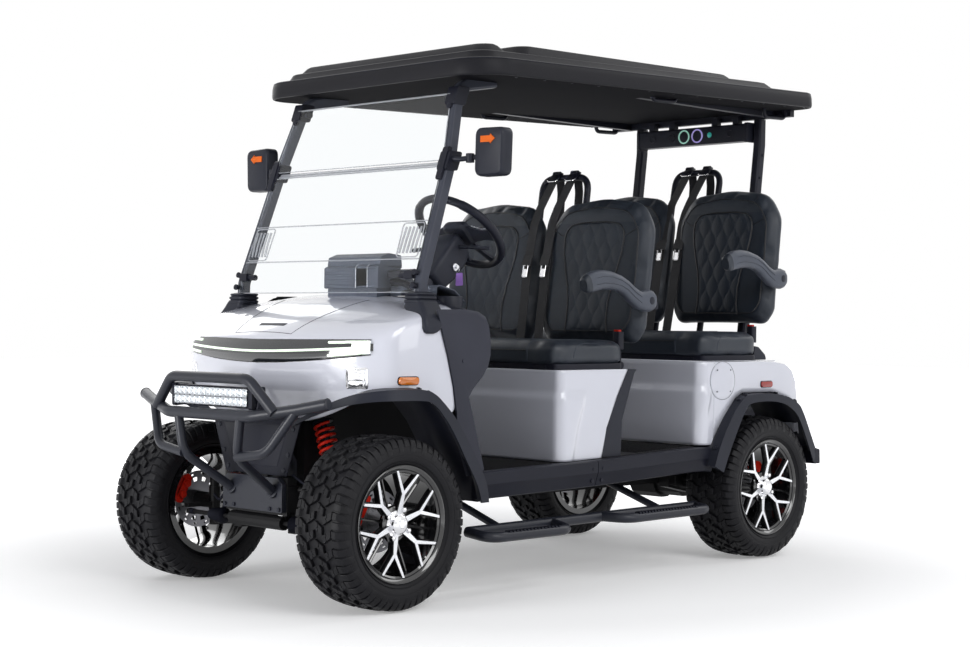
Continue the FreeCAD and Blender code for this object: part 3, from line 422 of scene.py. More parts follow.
WHEELS = {"front_left": (515, -1030, 1), "front_right": (-515, -1030, -1),
          "rear_left": (515, 1030, 1), "rear_right": (-515, 1030, -1)}
AXLE_Z = 292
PITCHES = 30


def at_wheel(name):
    x, y, side = WHEELS[name]
    return Matrix.Translation((x, y, AXLE_Z)) @ Matrix.Diagonal((side, 1, 1, 1))


def polar(x, r, angle):
    return (x, r * math.sin(angle), -r * math.cos(angle))


def crown(x):
    """Radius of the tread's top at a distance from the middle."""
    return 291.6 - 6.5 * (abs(x) / 100) ** 3


def tread_block(tyre, outline, pitch):
    """One rubber block; the outline is in (across, along) millimetres."""
    cx = sum(p[0] for p in outline) / len(outline)
    cs = sum(p[1] for p in outline) / len(outline)
    rows = []
    for share, drop in ((1.03, 13.0), (1.0, 1.6), (0.92, 0.0)):
        row = []
        for x, s in outline:
            x, s = cx + (x - cx) * share, cs + (s - cs) * share
            row.append(polar(x, crown(x) - drop, pitch + s / 291))
        rows.append(row)
    tyre.grid(rows, ring=True, caps=True)


def shoulder_lug(tyre, side, profile, start, end, skew):
    """Lug that wraps from the tread onto the sidewall."""
    rows = []
    for share, drop in ((0.0, 1.5), (0.07, 0.0), (0.93, 0.0), (1.0, 1.5)):
        row = []
        for i, (x, r) in enumerate(profile):
            s = start + (end - start) * share + skew * i
            row.append(polar(side * (x - drop * 0.6), r - drop, s / 291))
        for i, (x, r) in reversed(list(enumerate(profile))):
            s = start + (end - start) * share + skew * i
            row.append(polar(side * (x - 9), r - 11, s / 291))
        rows.append(row)
    tyre.grid(rows, ring=True, caps=True)


def tyre_shape():
    tyre = Shape()
    half = [(99.6, 178.5), (101, 190), (102, 197), (107, 203), (112, 208), (113.5, 214), (116, 219), (117, 226),
            (118.6, 240), (117.6, 252), (113, 264), (106, 273), (96, 278), (60, 280.5), (0, 281.5)]
    profile = half + [(-x, r) for x, r in reversed(half[:-1])]
    tyre.turn(profile, (0, 0, 0), (1, 0, 0), steps=90)
    step = TAU / PITCHES
    length = step * 291
    for k in range(PITCHES):
        for side in (1, -1):
            base = k * step + (0.5 * step if side < 0 else 0)
            tread_block(tyre, [(side * a, s) for a, s in
                               ((3, 4), (19, 13), (19, 24), (14, 27), (19, 30), (19, 39), (3, 30))], base)
            tread_block(tyre, [(side * a, s) for a, s in
                               ((21, 14), (38, 24), (38, 49), (21, 40), (21, 31), (16.5, 28), (21, 25))], base)
            tread_block(tyre, [(side * a, s) for a, s in
                               ((42, 52), (58, 42), (58, 52), (53, 56), (58, 60), (58, 68), (42, 78))], base)
            tread_block(tyre, [(side * a, s) for a, s in
                               ((60, 41), (78, 30), (78, 56), (60, 67), (60, 61), (55.5, 57), (60, 53))], base)
            lug_start = k * length + (0.5 * length if side < 0 else 0)
            shoulder_lug(tyre, side, [(82, 287.6), (98, 285.5), (108, 280), (115, 268), (119.4, 251), (119.2, 240)],
                         lug_start + 2, lug_start + 27, 1.6)
            shoulder_lug(tyre, side, [(82, 287.6), (98, 285.5), (107, 279), (113.5, 268), (117.5, 258)],
                         lug_start + 32, lug_start + 57, 1.6)
    for radius in (209, 231):
        for side in (1, -1):
            tyre.turn([(side * 112, radius - 2), (side * (118.3 if radius > 220 else 115), radius),
                       (side * 112, radius + 2)], (0, 0, 0), (1, 0, 0), steps=90)
    return tyre


def spoke_bar(rim, start, end, w0, w1, depth=24, flank=5):
    """Bar with a machined face and dark flanks, between two points of the wheel's face."""
    start, end = Vector(start), Vector(end)
    along = (end - start).normalized()
    side = along.cross(Vector((1, 0, 0))).normalized()
    back = Vector((-depth, 0, 0))
    rows = []
    for p, w in ((start, w0), (end, w1)):
        low = w / 2 + flank
        rows += [p + side * (w / 2), p - side * (w / 2), p - side * (w / 2 + 1.5) - Vector((2.0, 0, 0)),
                 p - side * low + back, p + side * low + back, p + side * (w / 2 + 1.5) - Vector((2.0, 0, 0))]
    rim.add(rows, [(0, 1, 7, 6)], 1)
    rim.add(rows, [(1, 2, 8, 7), (2, 3, 9, 8), (3, 4, 10, 9), (4, 5, 11, 10), (5, 0, 6, 11),
                   (0, 5, 4, 3, 2, 1), (6, 7, 8, 9, 10, 11)], 0)


def rim_shape():
    rim = Shape()
    rim.turn([(-108, 173), (-108, 195.6), (-101, 195.6), (-99, 184), (-92, 177.6), (92, 177.6), (99, 184),
              (101, 195.6), (107, 195.6), (107.6, 192), (104, 185), (99, 181), (92, 172.5), (40, 171.5),
              (-100, 171.5)], (0, 0, 0), (1, 0, 0), steps=90)
    rim.turn([(93, 172), (99.5, 181), (93, 186)], (0, 0, 0), (1, 0, 0), steps=90)
    for k in range(6):
        a = TAU * k / 6 + 0.18
        def at(r, turn, x):
            return (x, r * math.sin(a + turn), r * math.cos(a + turn))
        spoke_bar(rim, at(34, 0, 84), at(104, 0, 92), 20, 13)
        for s in (1, -1):
            spoke_bar(rim, at(100, 0, 91.6), at(182, s * 0.275, 99), 12, 8, 22)
        rim.tube([at(52, TAU / 12, 52), at(176, TAU / 12, 60)], 5, 6, 0)
    rim.turn([(-18, 20), (-18, 50), (40, 50), (58, 60), (72, 58), (76, 46), (76, 20)], (0, 0, 0), (1, 0, 0), 48)
    rim.turn([(70, 0.5), (70, 45), (80, 45), (83, 41), (84, 36), (84, 0.5)], (0, 0, 0), (1, 0, 0), 48, 2)
    rim.turn([(80, 0.5), (80, 34), (98, 33), (103, 28), (105, 21), (105.5, 0.5)], (0, 0, 0), (1, 0, 0), 12, 2)
    rim.turn([(104, 0.5), (104, 16), (106.6, 13), (106.6, 0.5)], (0, 0, 0), (1, 0, 0), 6, 2)
    for k in range(4):
        a = TAU * k / 4 + 0.5
        y, z = 52 * math.sin(a), 52 * math.cos(a)
        rim.turn([(70, 0.3), (70, 10.5), (86, 10), (93, 8), (96, 3), (96.4, 0.3)], (0, y, z), (1, 0, 0), 6, 2)
        rim.turn([(68, 0.3), (68, 14), (74, 14), (74, 0.3)], (0, y, z), (1, 0, 0), 20, 0)
    valve = polar(96, 166, 0.75)
    rim.tube([(84, valve[1] * 1.02, valve[2] * 1.02), (104, valve[1] * 0.96, valve[2] * 0.96)], 3.2, 10, 0)
    return rim


def disc_shape():
    """Brake disc with slots, and its bell."""
    disc = Shape()
    radii = [58, 66, 74, 82, 90, 97, 105]
    steps = 72
    for x in (-20, -15):
        for k in range(steps):
            for i in range(len(radii) - 1):
                hole = (i in (1, 2) and k % 6 in (1, 2, 3)) or (i == 4 and (k + 3) % 6 in (0, 1))
                if not hole:
                    a0, a1 = TAU * k / steps, TAU * (k + 1) / steps
                    disc.add([polar(x, radii[i], a0), polar(x, radii[i + 1], a0), polar(x, radii[i + 1], a1),
                              polar(x, radii[i], a1)], [(0, 1, 2, 3)])
    disc.turn([(-20, 105), (-15, 105)], (0, 0, 0), (1, 0, 0), 72, closed=False)
    disc.turn([(-20, 58), (-15, 58), (-15, 44), (4, 44), (4, 20), (-20, 20)], (0, 0, 0), (1, 0, 0), 48)
    return disc


def caliper_shape():
    """Two-piston caliper straddling the disc, on its bracket; does not turn with the wheel."""
    caliper = Shape()
    outline = rounded([(-52, -14), (52, -14), (58, 10), (44, 26), (-44, 26), (-58, 10)], 8)
    for x0, x1 in ((-42, -22), (-13, 4)):
        caliper.prism([(a, b + 92) for a, b in outline], "x", x0, x1)
    caliper.prism([(-40, 108), (40, 108), (36, 120), (-36, 120)], "x", -42, 4)
    for y in (-22, 22):
        caliper.turn([(0, 0.3), (0, 15), (9, 14), (10, 0.3)], (-42, y, 92), (-1, 0, 0), 24)
    return caliper


def wheels():
    tyre, rim, disc, caliper = tyre_shape(), rim_shape(), disc_shape(), caliper_shape()
    for name, (x, y, side) in WHEELS.items():
        place = at_wheel(name)
        body = "wheel_" + name
        rubber = tyre.copies([place]).make("tread_" + name, RUBBER, body, ["tyre_" + name], "rubber", smooth=28)
        metal = rim.copies([place]).make("wheel_" + name, [GLOSS, SILVER, CHROME], body, ["rim_" + name],
                                         "rim_metal", smooth=30)
        disc.copies([place]).make("brake_disc_" + name, DISC, body, smooth=30)
        holder = "steer_knuckle_" + name[6:] if name.startswith("front") else "root"
        lean = Matrix.Rotation(math.radians(62 if y < 0 else -62), 4, "X")
        caliper.copies([place @ lean]).make("caliper_" + name, RED, holder, bevel=2.0)


# Front body

def shell(piece, thick):
    """Gives a smooth surface its wall, inwards."""
    wall = piece.modifiers.new("wall", "SOLIDIFY")
    wall.thickness = thick * MM
    wall.offset = -1
    return piece


def surface_of(piece):
    """Search tree of a piece's finished surface, in millimetres."""
    bpy.context.view_layer.update()
    depsgraph = bpy.context.evaluated_depsgraph_get()
    mesh = piece.evaluated_get(depsgraph).to_mesh()
    verts = [v.co / MM for v in mesh.vertices]
    return BVHTree.FromPolygons(verts, [tuple(p.vertices) for p in mesh.polygons])


def cast(tree, start, direction):
    """First point and outward normal met from outside, looking along a direction."""
    direction = Vector(direction).normalized()
    point, normal, _, _ = tree.ray_cast(Vector(start) - direction * 600, direction)
    if point is None:
        point, normal, _, _ = tree.find_nearest(Vector(start))
    if normal.dot(direction) > 0:
        normal = -normal
    return point, normal


def on_surface(shape, tree, centre, direction, outline, height, slot=0, steps=3, dome=0.0):
    """Raised patch that follows a surface; the outline is (right, up) about the centre."""
    direction = Vector(direction).normalized()
    right = direction.cross(Vector((0, 0, 1))).normalized()
    up = right.cross(direction)
    rows = []
    for share, lift in ((1.0, -1.0), (1.0, height * 0.6), (0.94, height)):
        row = []
        for a, b in outline:
            point, normal = cast(tree, Vector(centre) + right * (a * share) + up * (b * share), direction)
            row.append(point + normal * lift)
        rows.append(row)
    for k in range(1, steps + 1):
        share = 0.94 * (1 - k / (steps + 1))
        row = []
        for a, b in outline:
            point, normal = cast(tree, Vector(centre) + right * (a * share) + up * (b * share), direction)
            row.append(point + normal * (height + dome * (1 - share)))
        rows.append(row)
    return shape.grid(rows, slot, ring=True, caps=True)


def cowl_cage():
    """Control mesh of the left half of the nose: front, side and top share their edges."""
    cage = Shape()
    xs = [0, 110, 230, 350, 450, 505]
    front = [-1168, -1164, -1149, -1127, -1099, -1068]
    lean = [(600, 52), (640, 38), (700, 20), (770, 6), (830, 0), (880, 2), (902, 14)]
    bottom = [612, 612, 616, 650, 695, 718]
    top_z = [902, 902, 902, 901, 898, 892]
    rows = []
    for k in range(6):
        row = []
        for i, x in enumerate(xs):
            z = bottom[i] + (top_z[i] - bottom[i]) * (0, 0.16, 0.42, 0.70, 0.90, 1.0)[k]
            row.append((x, front[i] + lerp(lean, z), z))
        rows.append(row)
    cage.grid(rows)
    centre_y = [-1154, -1126, -1060, -960, -850, -745]
    side_y = [-1054, -1026, -975, -900, -820, -745]
    top_x = [505, 528, 543, 551, 555, 557]
    centre_z = [902, 924, 962, 1004, 1043, 1060]
    side_z = [892, 930, 964, 988, 1004, 1010]
    top = []
    for j in range(6):
        row = []
        for x in xs:
            t = x / 505
            row.append((t * top_x[j], centre_y[j] + (side_y[j] - centre_y[j]) * t ** 2.2,
                        centre_z[j] + (side_z[j] - centre_z[j]) * t ** 2.5))
        top.append(row)
    top[0] = rows[-1]
    cage.grid(top)
    wall_x = [505, 549, 564, 571, 575, 576]
    low = [718, 730, 735, 722, 660, 640]
    side = []
    for j in range(6):
        column = []
        for k in range(6):
            share = (0, 0.16, 0.42, 0.70, 0.90, 1.0)[k]
            z = low[j] + (side_z[j] - low[j]) * share
            x = (wall_x[j] - 3, wall_x[j], wall_x[j], wall_x[j] - 1, wall_x[j] - 3, top_x[j])[k]
            column.append((x, side_y[j], z))
        side.append(column)
    side[0] = [row[-1] for row in rows]
    for j in range(6):
        side[j][5] = top[j][5]
    cage.grid(side)
    return cage.both()


def front_body():
    cowl = cowl_cage().make("cowl", WHITE, replaces=["front_cowl", "hood_cover"], slot="body_white", levels=3,
                            weld=True)
    shell(cowl, 4.5)
    skin = surface_of(cowl)
    down = (0, 0, -1)
    lid = [(-235, -838), (-228, -860), (-155, -1128), (155, -1128), (228, -860), (235, -838)]
    seam = Shape()
    path = []
    for (x0, y0), (x1, y1) in zip(lid, lid[1:]):
        for k in range(14):
            t = k / 14
            path.append(cast(skin, (x0 + (x1 - x0) * t, y0 + (y1 - y0) * t, 1000), down)[0])
    seam.tube(path, 1.2, 6)
    seam.make("hood_seam", BLACK)
    tag = Shape()
    on_surface(tag, skin, (0, -1085, 950), (0, 0.45, -0.9), rounded([(-70, -9), (70, -9), (74, 9), (-74, 9)], 4),
               1.2)
    tag.make("hood_plate", DARK)
    headlamps(skin)
    lamp = Shape()
    for side in (1, -1):
        outline = rounded([(-39, -36), (39, -36), (39, 36), (-39, 36)], 8)
        aim = (-side * 0.62, 0.78, 0)
        centre = (side * 455, -1090, 771)
        on_surface(lamp, skin, centre, aim, outline, 2.5, 0)
        on_surface(lamp, skin, centre, aim, [(a * 0.86, b * 0.86) for a, b in outline], 4.0, 1)
        for place, size in ((793, 7), (771, 9), (749, 7)):
            on_surface(lamp, skin, (side * 455, -1090, place), aim,
                       rounded([(-29, -size), (29, -size), (29, size), (-29, size)], 3), 6.5, 0, dome=2)
    lamp.make("corner_lamps", [CHROME, SILVER], replaces=["marker_lamps"], slot="marker_lens", smooth=40)
    marker = Shape()
    for side in (1, -1):
        outline = rounded([(-43, -15), (43, -15), (43, 15), (-43, 15)], 13)
        on_surface(marker, skin, (side * 572, -955, 763), (-side, 0, 0), outline, 2.5, 1)
        on_surface(marker, skin, (side * 572, -955, 763), (-side, 0, 0), [(a * 0.93, b * 0.85) for a, b in outline],
                   9.0, 0, dome=2)
    marker.make("side_markers", [AMBER, BLACK], smooth=40)
    return skin


def headlamps(skin):
    """Smoked band across the nose with its lit strips and end clusters."""
    bar = Shape()
    def edge(x):
        t = min(1.0, abs(x) / 505)
        return 816 + 34 * t ** 1.8, 893 + 5 * t
    def at(x, share, lift):
        low, high = edge(x)
        aim = Vector((-max(-1.0, min(1.0, x / 560)) ** 3, 1, 0))
        point, normal = cast(skin, (x, lerp([(0, -1160), (350, -1125), (505, -1075)], abs(x)),
                                    low + (high - low) * share), aim)
        return point + normal * lift
    stations = [-517 + 1034 * k / 88 for k in range(89)]
    rows = []
    for k, x in enumerate(stations):
        end = min(k, 88 - k)
        pinch = (0.40, 0.30, 0.18, 0.08, 0.02)[end] if end < 5 else 0.0
        shares = [pinch, pinch + 0.02, 0.25, 0.5, 0.75, 0.98 - pinch, 1 - pinch]
        lifts = [-1, 6, 8, 8, 8, 6, -1] if 0 < end else [-1] * 7
        rows.append([at(x, s, l) for s, l in zip(shares, lifts)])
    bar.grid(rows)
    bar.make("headlamp_band", SMOKE, replaces=["headlamp_bar"], slot="lamp_lens", smooth=50)
    lit = Shape()
    lit.tube([at(-478 + 956 * k / 80, 0.5, 8.2) for k in range(81)], 4.0, 8)
    lit.make("day_strip", GLOW)
    ends = Shape()
    for side in (1, -1):
        for share in (0.17, 0.83):
            ends.tube([at(side * (352 + 140 * k / 16), share, 8.2) for k in range(17)], 4.6, 8)
        block = [[at(side * (440 + 64 * k / 12), 0.10 + 0.8 * m / 8, 8.8) for m in range(9)] for k in range(13)]
        ends.grid(block, 1)
    ends.make("end_clusters", [GLOW, LIT], smooth=50)
    rim = Shape()
    for share in (0.0, 1.0):
        rim.tube([at(-505 + 1010 * k / 80, share, 2.0) for k in range(81)], 2.2, 6)
    rim.make("headlamp_trim", GLOSS)


def flare_strip(stations, name, node, screws):
    """Moulded arch lip: white-side edge, crest, lip and return, swept through the stations."""
    strip = Shape()
    rows = []
    for a, b, c in stations:
        a, b, c = Vector(a), Vector(b), Vector(c)
        out = (b - a)
        rows.append([a - out * 0.05, a + out * 0.04 + Vector((0, 0, 0)), a + out * 0.42, a + out * 0.90, b,
                     b + (c - b) * 0.12, c, c - out * 0.14, c - out * 0.22 + (b - c) * 0.55, a + (c - b) * 0.30])
    fine = []
    for first, second in zip(rows, rows[1:]):
        for k in range(6):
            fine.append([p.lerp(q, k / 6) for p, q in zip(first, second)])
    fine.append(rows[-1])
    count = len(fine)
    smooth = [[sum((fine[max(0, min(count - 1, i + d))][j] for d in range(-3, 4)), Vector()) / 7
               for j in range(10)] for i in range(count)]
    smooth[0], smooth[-1] = fine[0], fine[-1]
    strip.grid(smooth, ring=True, caps=True)
    for i, share in screws:
        a, b, c = (Vector(p) for p in stations[i])
        spot = a.lerp(b, share)
        normal = (b - a).cross(Vector(stations[i + 1][0]) - Vector(stations[i][0])).normalized()
        if normal.dot((c - b)) > 0:
            normal = -normal
        strip.turn([(-2, 9.5), (1.5, 9.5), (2.0, 8.5), (0.8, 7.5), (0.8, 0.3)], spot, normal, 20)
        strip.turn([(0.5, 4.2), (3.4, 4.0), (3.6, 0.3)], spot, normal, 6)
    strip.both().make(name, DARK, replaces=[node], slot="trim_black", smooth=40)


FRONT_FLARE = [
    ((200, -1150, 612), (206, -1168, 611), (208, -1168, 600)),
    ((340, -1136, 664), (352, -1182, 664), (354, -1184, 646)),
    ((455, -1098, 720), (472, -1162, 712), (476, -1168, 680)),
    ((514, -1060, 738), (562, -1116, 731), (568, -1124, 697)),
    ((556, -1005, 741), (618, -1038, 738), (626, -1042, 700)),
    ((574, -940, 740), (636, -945, 737), (640, -945, 699)),
    ((578, -893, 727), (636, -898, 722), (640, -908, 690)),
    ((580, -852, 694), (636, -857, 690), (640, -868, 655)),
    ((582, -789, 631), (636, -790, 628), (640, -812, 590)),
    ((583, -718, 525), (636, -718, 524), (640, -762, 505)),
    ((584, -645, 422), (636, -648, 420), (640, -694, 405)),
    ((584, -634, 341), (636, -636, 341), (640, -676, 341)),
]
REAR_FLARE = [
    ((601, 640, 400), (636, 645, 398), (640, 697, 372)),
    ((601, 668, 473), (636, 672, 470), (640, 730, 440)),
    ((601, 748, 592), (636, 750, 590), (640, 788, 538)),
    ((601, 819, 661), (636, 822, 659), (640, 844, 626)),
    ((601, 866, 682), (636, 868, 680), (640, 888, 648)),
    ((601, 1078, 681), (636, 1078, 680), (640, 1085, 648)),
    ((601, 1219, 644), (636, 1215, 642), (640, 1190, 604)),
    ((601, 1262, 592), (636, 1258, 590), (640, 1232, 552)),
    ((601, 1304, 520), (636, 1300, 516), (640, 1272, 484)),
    ((601, 1349, 440), (636, 1347, 436), (640, 1330, 376)),
]


def flares():
    flare_strip(FRONT_FLARE, "front_flare", "front_flares", ((5, 0.45), (6, 0.45), (7, 0.5), (10, 0.5)))
    flare_strip(REAR_FLARE, "rear_flare", "rear_flares", ((3, 0.45), (4, 0.45), (5, 0.45), (6, 0.45), (1, 0.45)))
    flap = Shape()
    outline = rounded([(1340, 442), (1374, 434), (1377, 374), (1334, 374)], 6)
    flap.prism(outline, "x", 470, 638).both().make("mud_flaps", BLACK, bevel=2)
    house = Shape()
    for front_y, lip in ((-1, [(p[0], p[2]) for p in FRONT_FLARE[3:]]), (1, [(p[0], p[2]) for p in REAR_FLARE])):
        rows = []
        for a, c in lip:
            rows.append([(a[0] - 2, a[1], a[2] - 3), (470, a[1] + (0 if front_y > 0 else 4), a[2] - 3),
                         (380, a[1], a[2] - 12)])
        house.grid(rows)
    piece = house.both().make("wheel_houses", BLACK, smooth=30)
    shell(piece, 3)


# Tub, doors' openings and rear body

def eased(t):
    """0 to 1 with soft ends."""
    t = max(0.0, min(1.0, t))
    return t * t * (3 - 2 * t)


def wall(front_y, side_x, rear_y, radius, levels, swell_at):
    """Front and side wall of a tub in one sheet: a row for each height, round the front corner."""
    rows = []
    for z in levels:
        y0, y1 = front_y(z), rear_y(z)
        row = []
        for k in range(25):
            row.append((((side_x - radius) * k / 25), y0, 0.0, -1.0))
        for k in range(11):
            a = math.pi / 2 * k / 10
            row.append((side_x - radius + radius * math.sin(a), y0 + radius - radius * math.cos(a),
                        math.sin(a), -math.cos(a)))
        for k in range(1, 29):
            row.append((side_x, y0 + radius + (y1 - y0 - radius) * k / 28, 1.0, 0.0))
        rows.append([(x + nx * swell_at(x, y, z), y + ny * swell_at(x, y, z), z) for x, y, nx, ny in row])
    return rows


def seat_base():
    """White box under the front bench, with a fuller lower panel that wraps its corner."""
    cage = Shape()
    levels = [452 + 334 * k / 40 for k in range(41)]

    def rear_y(z):
        return lerp([(452, 42), (569, 80), (683, 130), (786, 193)], z)

    def fuller(x, y, z):
        end = lerp([(452, -105), (560, -82), (620, -62), (660, -44), (700, -40)], z)
        return 8.5 * eased((712 - z) / 34) * eased((end - y) / 34)
    rows = wall(lambda z: -190, 558, rear_y, 34, levels, fuller)
    cage.grid(rows)
    lip = [[Vector(p) for p in rows[-1]]]
    for lift, pull in ((787.6, 1.2), (788, 4), (788, 14)):
        lip.append([Vector((max(0, p.x - pull * min(1, p.x / 300)), p.y + pull * (p.y < -120), lift))
                    for p in lip[0]])
    cage.grid(lip)
    top = [[(x, y, 788) for y in (-180, 0, 193)] for x in (0, 300, 546)]
    cage.grid(top)
    piece = cage.both().make("seat_base", WHITE, replaces=["front_seat_base"], slot="body_white", smooth=50,
                             weld=True)
    shell(piece, 4)
    trim = Shape()
    outline = [(196.5, 787), (248, 787), (232, 773), (162, 594), (155, 459), (46, 459), (72, 569), (131, 683)]
    trim.prism(rounded(outline, 5), "x", -559, 559)
    trim.make("seat_base_rear", DARK, replaces=["seat_base_trim"], slot="trim_black", bevel=2)


def rear_body():
    """White tub over the rear axle: upright front, side walls, rounded shoulders, deck and tail."""
    cage = Shape()
    arch = [(640, 400), (672, 476), (752, 594), (822, 664), (868, 685), (1078, 684), (1216, 646), (1260, 596),
            (1302, 522), (1350, 440)]
    crown = [(603, 812), (971, 812), (1096, 809), (1179, 797), (1226, 770), (1253, 728), (1277, 625), (1292, 510)]

    def fuller(x, y, z):
        end = lerp([(480, 636), (560, 652), (620, 668), (660, 684), (720, 690)], z)
        return 9 * eased((722 - z) / 34) * eased((end - y) / 40) * (y < 760)
    front, share = [], [k / 30 for k in range(31)]
    for t in share:
        z = 480 + (806 - 480) * t
        low = wall(lambda z: 612, 590, lambda z: 690, 46, [z], fuller)[0]
        front.append(low)
    cage.grid(front)
    soft = [[Vector(p) for p in front[-1]]]
    for lift, pull in ((810.5, 2), (812, 7), (812, 20)):
        soft.append([Vector((p.x - pull * min(1, p.x / 300), p.y + pull * (1 if p.y < 660 else 0), lift))
                     for p in soft[0]])
    cage.grid(soft)
    columns = []
    for k in range(47):
        y = 690 + (1292 - 690) * k / 46
        top = lerp(crown, y)
        low = max(480, lerp(arch, y))
        low = min(low, top - 8)
        zs = [low + (top - 6 - low) * s for s in (0, 0.2, 0.4, 0.6, 0.8, 0.94, 1.0)]
        over = 0 if y < 1150 else (y - 1150) / 142
        column = []
        for z in zs:
            swell_out = fuller(590, y, z)
            column.append((590 + swell_out + 9 * eased((y - 690) / 90) - 14 * over ** 2, y, z))
        edge = column[-1][0]
        column += [(edge - 2, y, top - 2), (edge - 7, y, top), (edge - 20, y, top + 0.5), (420, y, top + 1),
                   (0, y, top + 2)]
        columns.append(column)
    cage.grid(columns)
    tail = []
    for y, z in ((1292, 508), (1299, 560), (1297, 600), (1290, 640), (1279, 640)):
        tail.append([(x, y - 10 * (x / 576) ** 6, z) for x in (576, 560, 500, 400, 200, 0)])
    cage.grid(tail[:4])
    piece = cage.both().make("rear_tub", WHITE, replaces=["rear_body"], slot="body_white", smooth=40, weld=True)
    shell(piece, 4)
    deck = Shape()
    deck.grid([[(x, y, 813) for y in (628, 900, 1150)] for x in (-560, 0, 560)])
    under = deck.make("rear_deck_panel", WHITE, slot="body_white")
    shell(under, 4)
    return surface_of(piece)


def rear_details(skin):
    cover = Shape()
    circle = [(73 * math.cos(TAU * k / 48), 73 * math.sin(TAU * k / 48)) for k in range(48)]
    on_surface(cover, skin, (600, 742, 735), (-1, 0, 0), circle, 3.0)
    cover.make("charge_cover", WHITE, slot="body_white", smooth=40)
    ring = Shape()
    ring.tube([cast(skin, (600, 742 + 76 * math.cos(TAU * k / 48), 735 + 76 * math.sin(TAU * k / 48)),
                    (-1, 0, 0))[0] for k in range(49)], 1.0, 6, caps=False)
    for k in range(4):
        a = TAU * k / 4 + 0.78
        ring.turn([(0, 3.4), (4.2, 3.2), (4.6, 0.3)],
                  (600, 742 + 61 * math.cos(a), 735 + 61 * math.sin(a)), (1, 0, 0), 10, 0)
    ring.make("charge_cover_ring", SEAM)
    marker = Shape()
    for side in (1, -1):
        outline = rounded([(-42, -14), (42, -14), (42, 14), (-42, 14)], 12)
        on_surface(marker, skin, (side * 600, 1035, 716), (-side, 0, 0), outline, 2.2, 1)
        on_surface(marker, skin, (side * 600, 1035, 716), (-side, 0, 0), [(a * 0.93, b * 0.85) for a, b in outline],
                   7.0, 0, dome=2)
    marker.make("rear_side_markers", [REDLENS, BLACK], smooth=40)
    tail = Shape()
    for side in (1, -1):
        outline = rounded([(-70, -26), (70, -26), (70, 26), (-70, 26)], 16)
        on_surface(tail, skin, (side * 440, 1290, 690), (0, -1, 0), outline, 3, 1)
        on_surface(tail, skin, (side * 440, 1290, 690), (0, -1, 0), [(a * 0.92, b * 0.84) for a, b in outline], 9,
                   0, dome=3)
    tail.make("tail_lamps", [REDLENS, BLACK], smooth=40)
    behind = Shape()
    outline = rounded([(1066, 814), (1078, 872), (1104, 868), (1150, 836), (1160, 814)], 5)
    behind.prism(outline, "x", -510, 510)
    behind.make("rear_seat_ledge", DARK, bevel=2)


def cowl_side_panels():
    outline = [(-842, 1004), (-700, 1005), (-643, 998), (-606, 980), (-589, 948), (-580, 900), (-580, 850),
               (-592, 808), (-618, 774), (-668, 728), (-686, 700), (-685, 660), (-673, 600), (-646, 520),
               (-627, 462), (-600, 442), (-650, 428), (-690, 430), (-718, 500), (-742, 560), (-744, 647),
               (-760, 740), (-790, 850)]
    panel = Shape()
    soft = rounded(outline, 8, 3)
    centre = (-705, 760)
    rows = []
    for share, x in ((1.0, 575.5), (1.0, 580), (0.985, 582.5), (0.93, 583), (0.6, 584), (0.2, 584.5)):
        rows.append([(x, centre[0] + (y - centre[0]) * share, centre[1] + (z - centre[1]) * share)
                     for y, z in soft])
    panel.grid(rows, ring=True, caps=True)
    panel.turn([(583, 7), (586.5, 6.4), (587, 0.3)], (0, -716, 828), (1, 0, 0), 20)
    panel.both().make("cowl_side", PANEL, replaces=["cowl_sides"], slot="trim_black", smooth=35)


def rockers():
    sill = Shape()
    def top(y):
        return lerp([(-650, 442), (-1, 453), (610, 474), (692, 468)], y)
    for y0, y1 in ((-650, -22), (-19, 690)):
        rows = []
        for k in range(13):
            y = y0 + (y1 - y0) * k / 12
            z = top(y)
            rows.append([(563, y, z), (592, y, z), (598, y, z - 4), (600, y, z - 12), (600, y, z - 46),
                         (596, y, z - 52), (584, y, z - 94), (578, y, z - 98), (563, y, z - 98)])
        sill.grid(rows, ring=True, caps=True)
    for y in (-46, 8):
        for dz in (-30, -75):
            x = 600 if dz > -50 else 592
            sill.turn([(-2, 8), (1.5, 7.5), (2, 0.3)], (x, y, top(y) + dz), (1, 0, 0), 20)
    sill.both().make("sill", BLACK, replaces=["rockers"], slot="trim_black", smooth=30)
    mat = Shape()
    def floor(y):
        return 435 + (y + 600) / 1200 * 41
    for y0, y1, count in ((-590, -210, 22), (262, 590, 19)):
        for k in range(count):
            y = y0 + (y1 - y0) * (k + 0.5) / count
            z = floor(y)
            mat.prism([(y - 3.4, z), (y + 3.4, z), (y + 2.2, z + 2.4), (y - 2.2, z + 2.4)], "x", -545, 545)
    for k in range(10):
        t = 0.08 + 0.072 * k
        y, z = -600 - 165 * t, 435 + 345 * t
        mat.prism([(y, z - 3.4), (y + 2.6, z - 2.2), (y + 2.6, z + 2.2), (y, z + 3.4)], "x", -520, 520)
    mat.make("floor_ribs", MAT)
    repaint("floor_pan", MAT)
    pedals = Shape()
    for x, w in ((330, 60), (200, 110)):
        pedals.prism(rounded([(x - w / 2, 500), (x + w / 2, 500), (x + w / 2, 620), (x - w / 2, 620)], 12), "y",
                     -600, -588)
        pedals.tube([(x, -600, 580), (x, -660, 640), (x, -700, 720)], 9, 10)
        for k in range(4):
            pedals.box(x - w / 2 + 8, x + w / 2 - 8, -588.5, -585, 520 + 24 * k, 528 + 24 * k)
    pedals.make("pedals", STEEL, bevel=1.5)
# Seats, belts and armrests

BACKS = [(s * 285, y, z, math.atan2(run, rise)) for s in (1, -1)
         for y, z, run, rise in ((300, 905, 75, 530), (1150, 985, 65, 533))]
HOOPS = [(298, 468, 453, 1560, 0), (1174, 808, 1343, 1640, 1)]


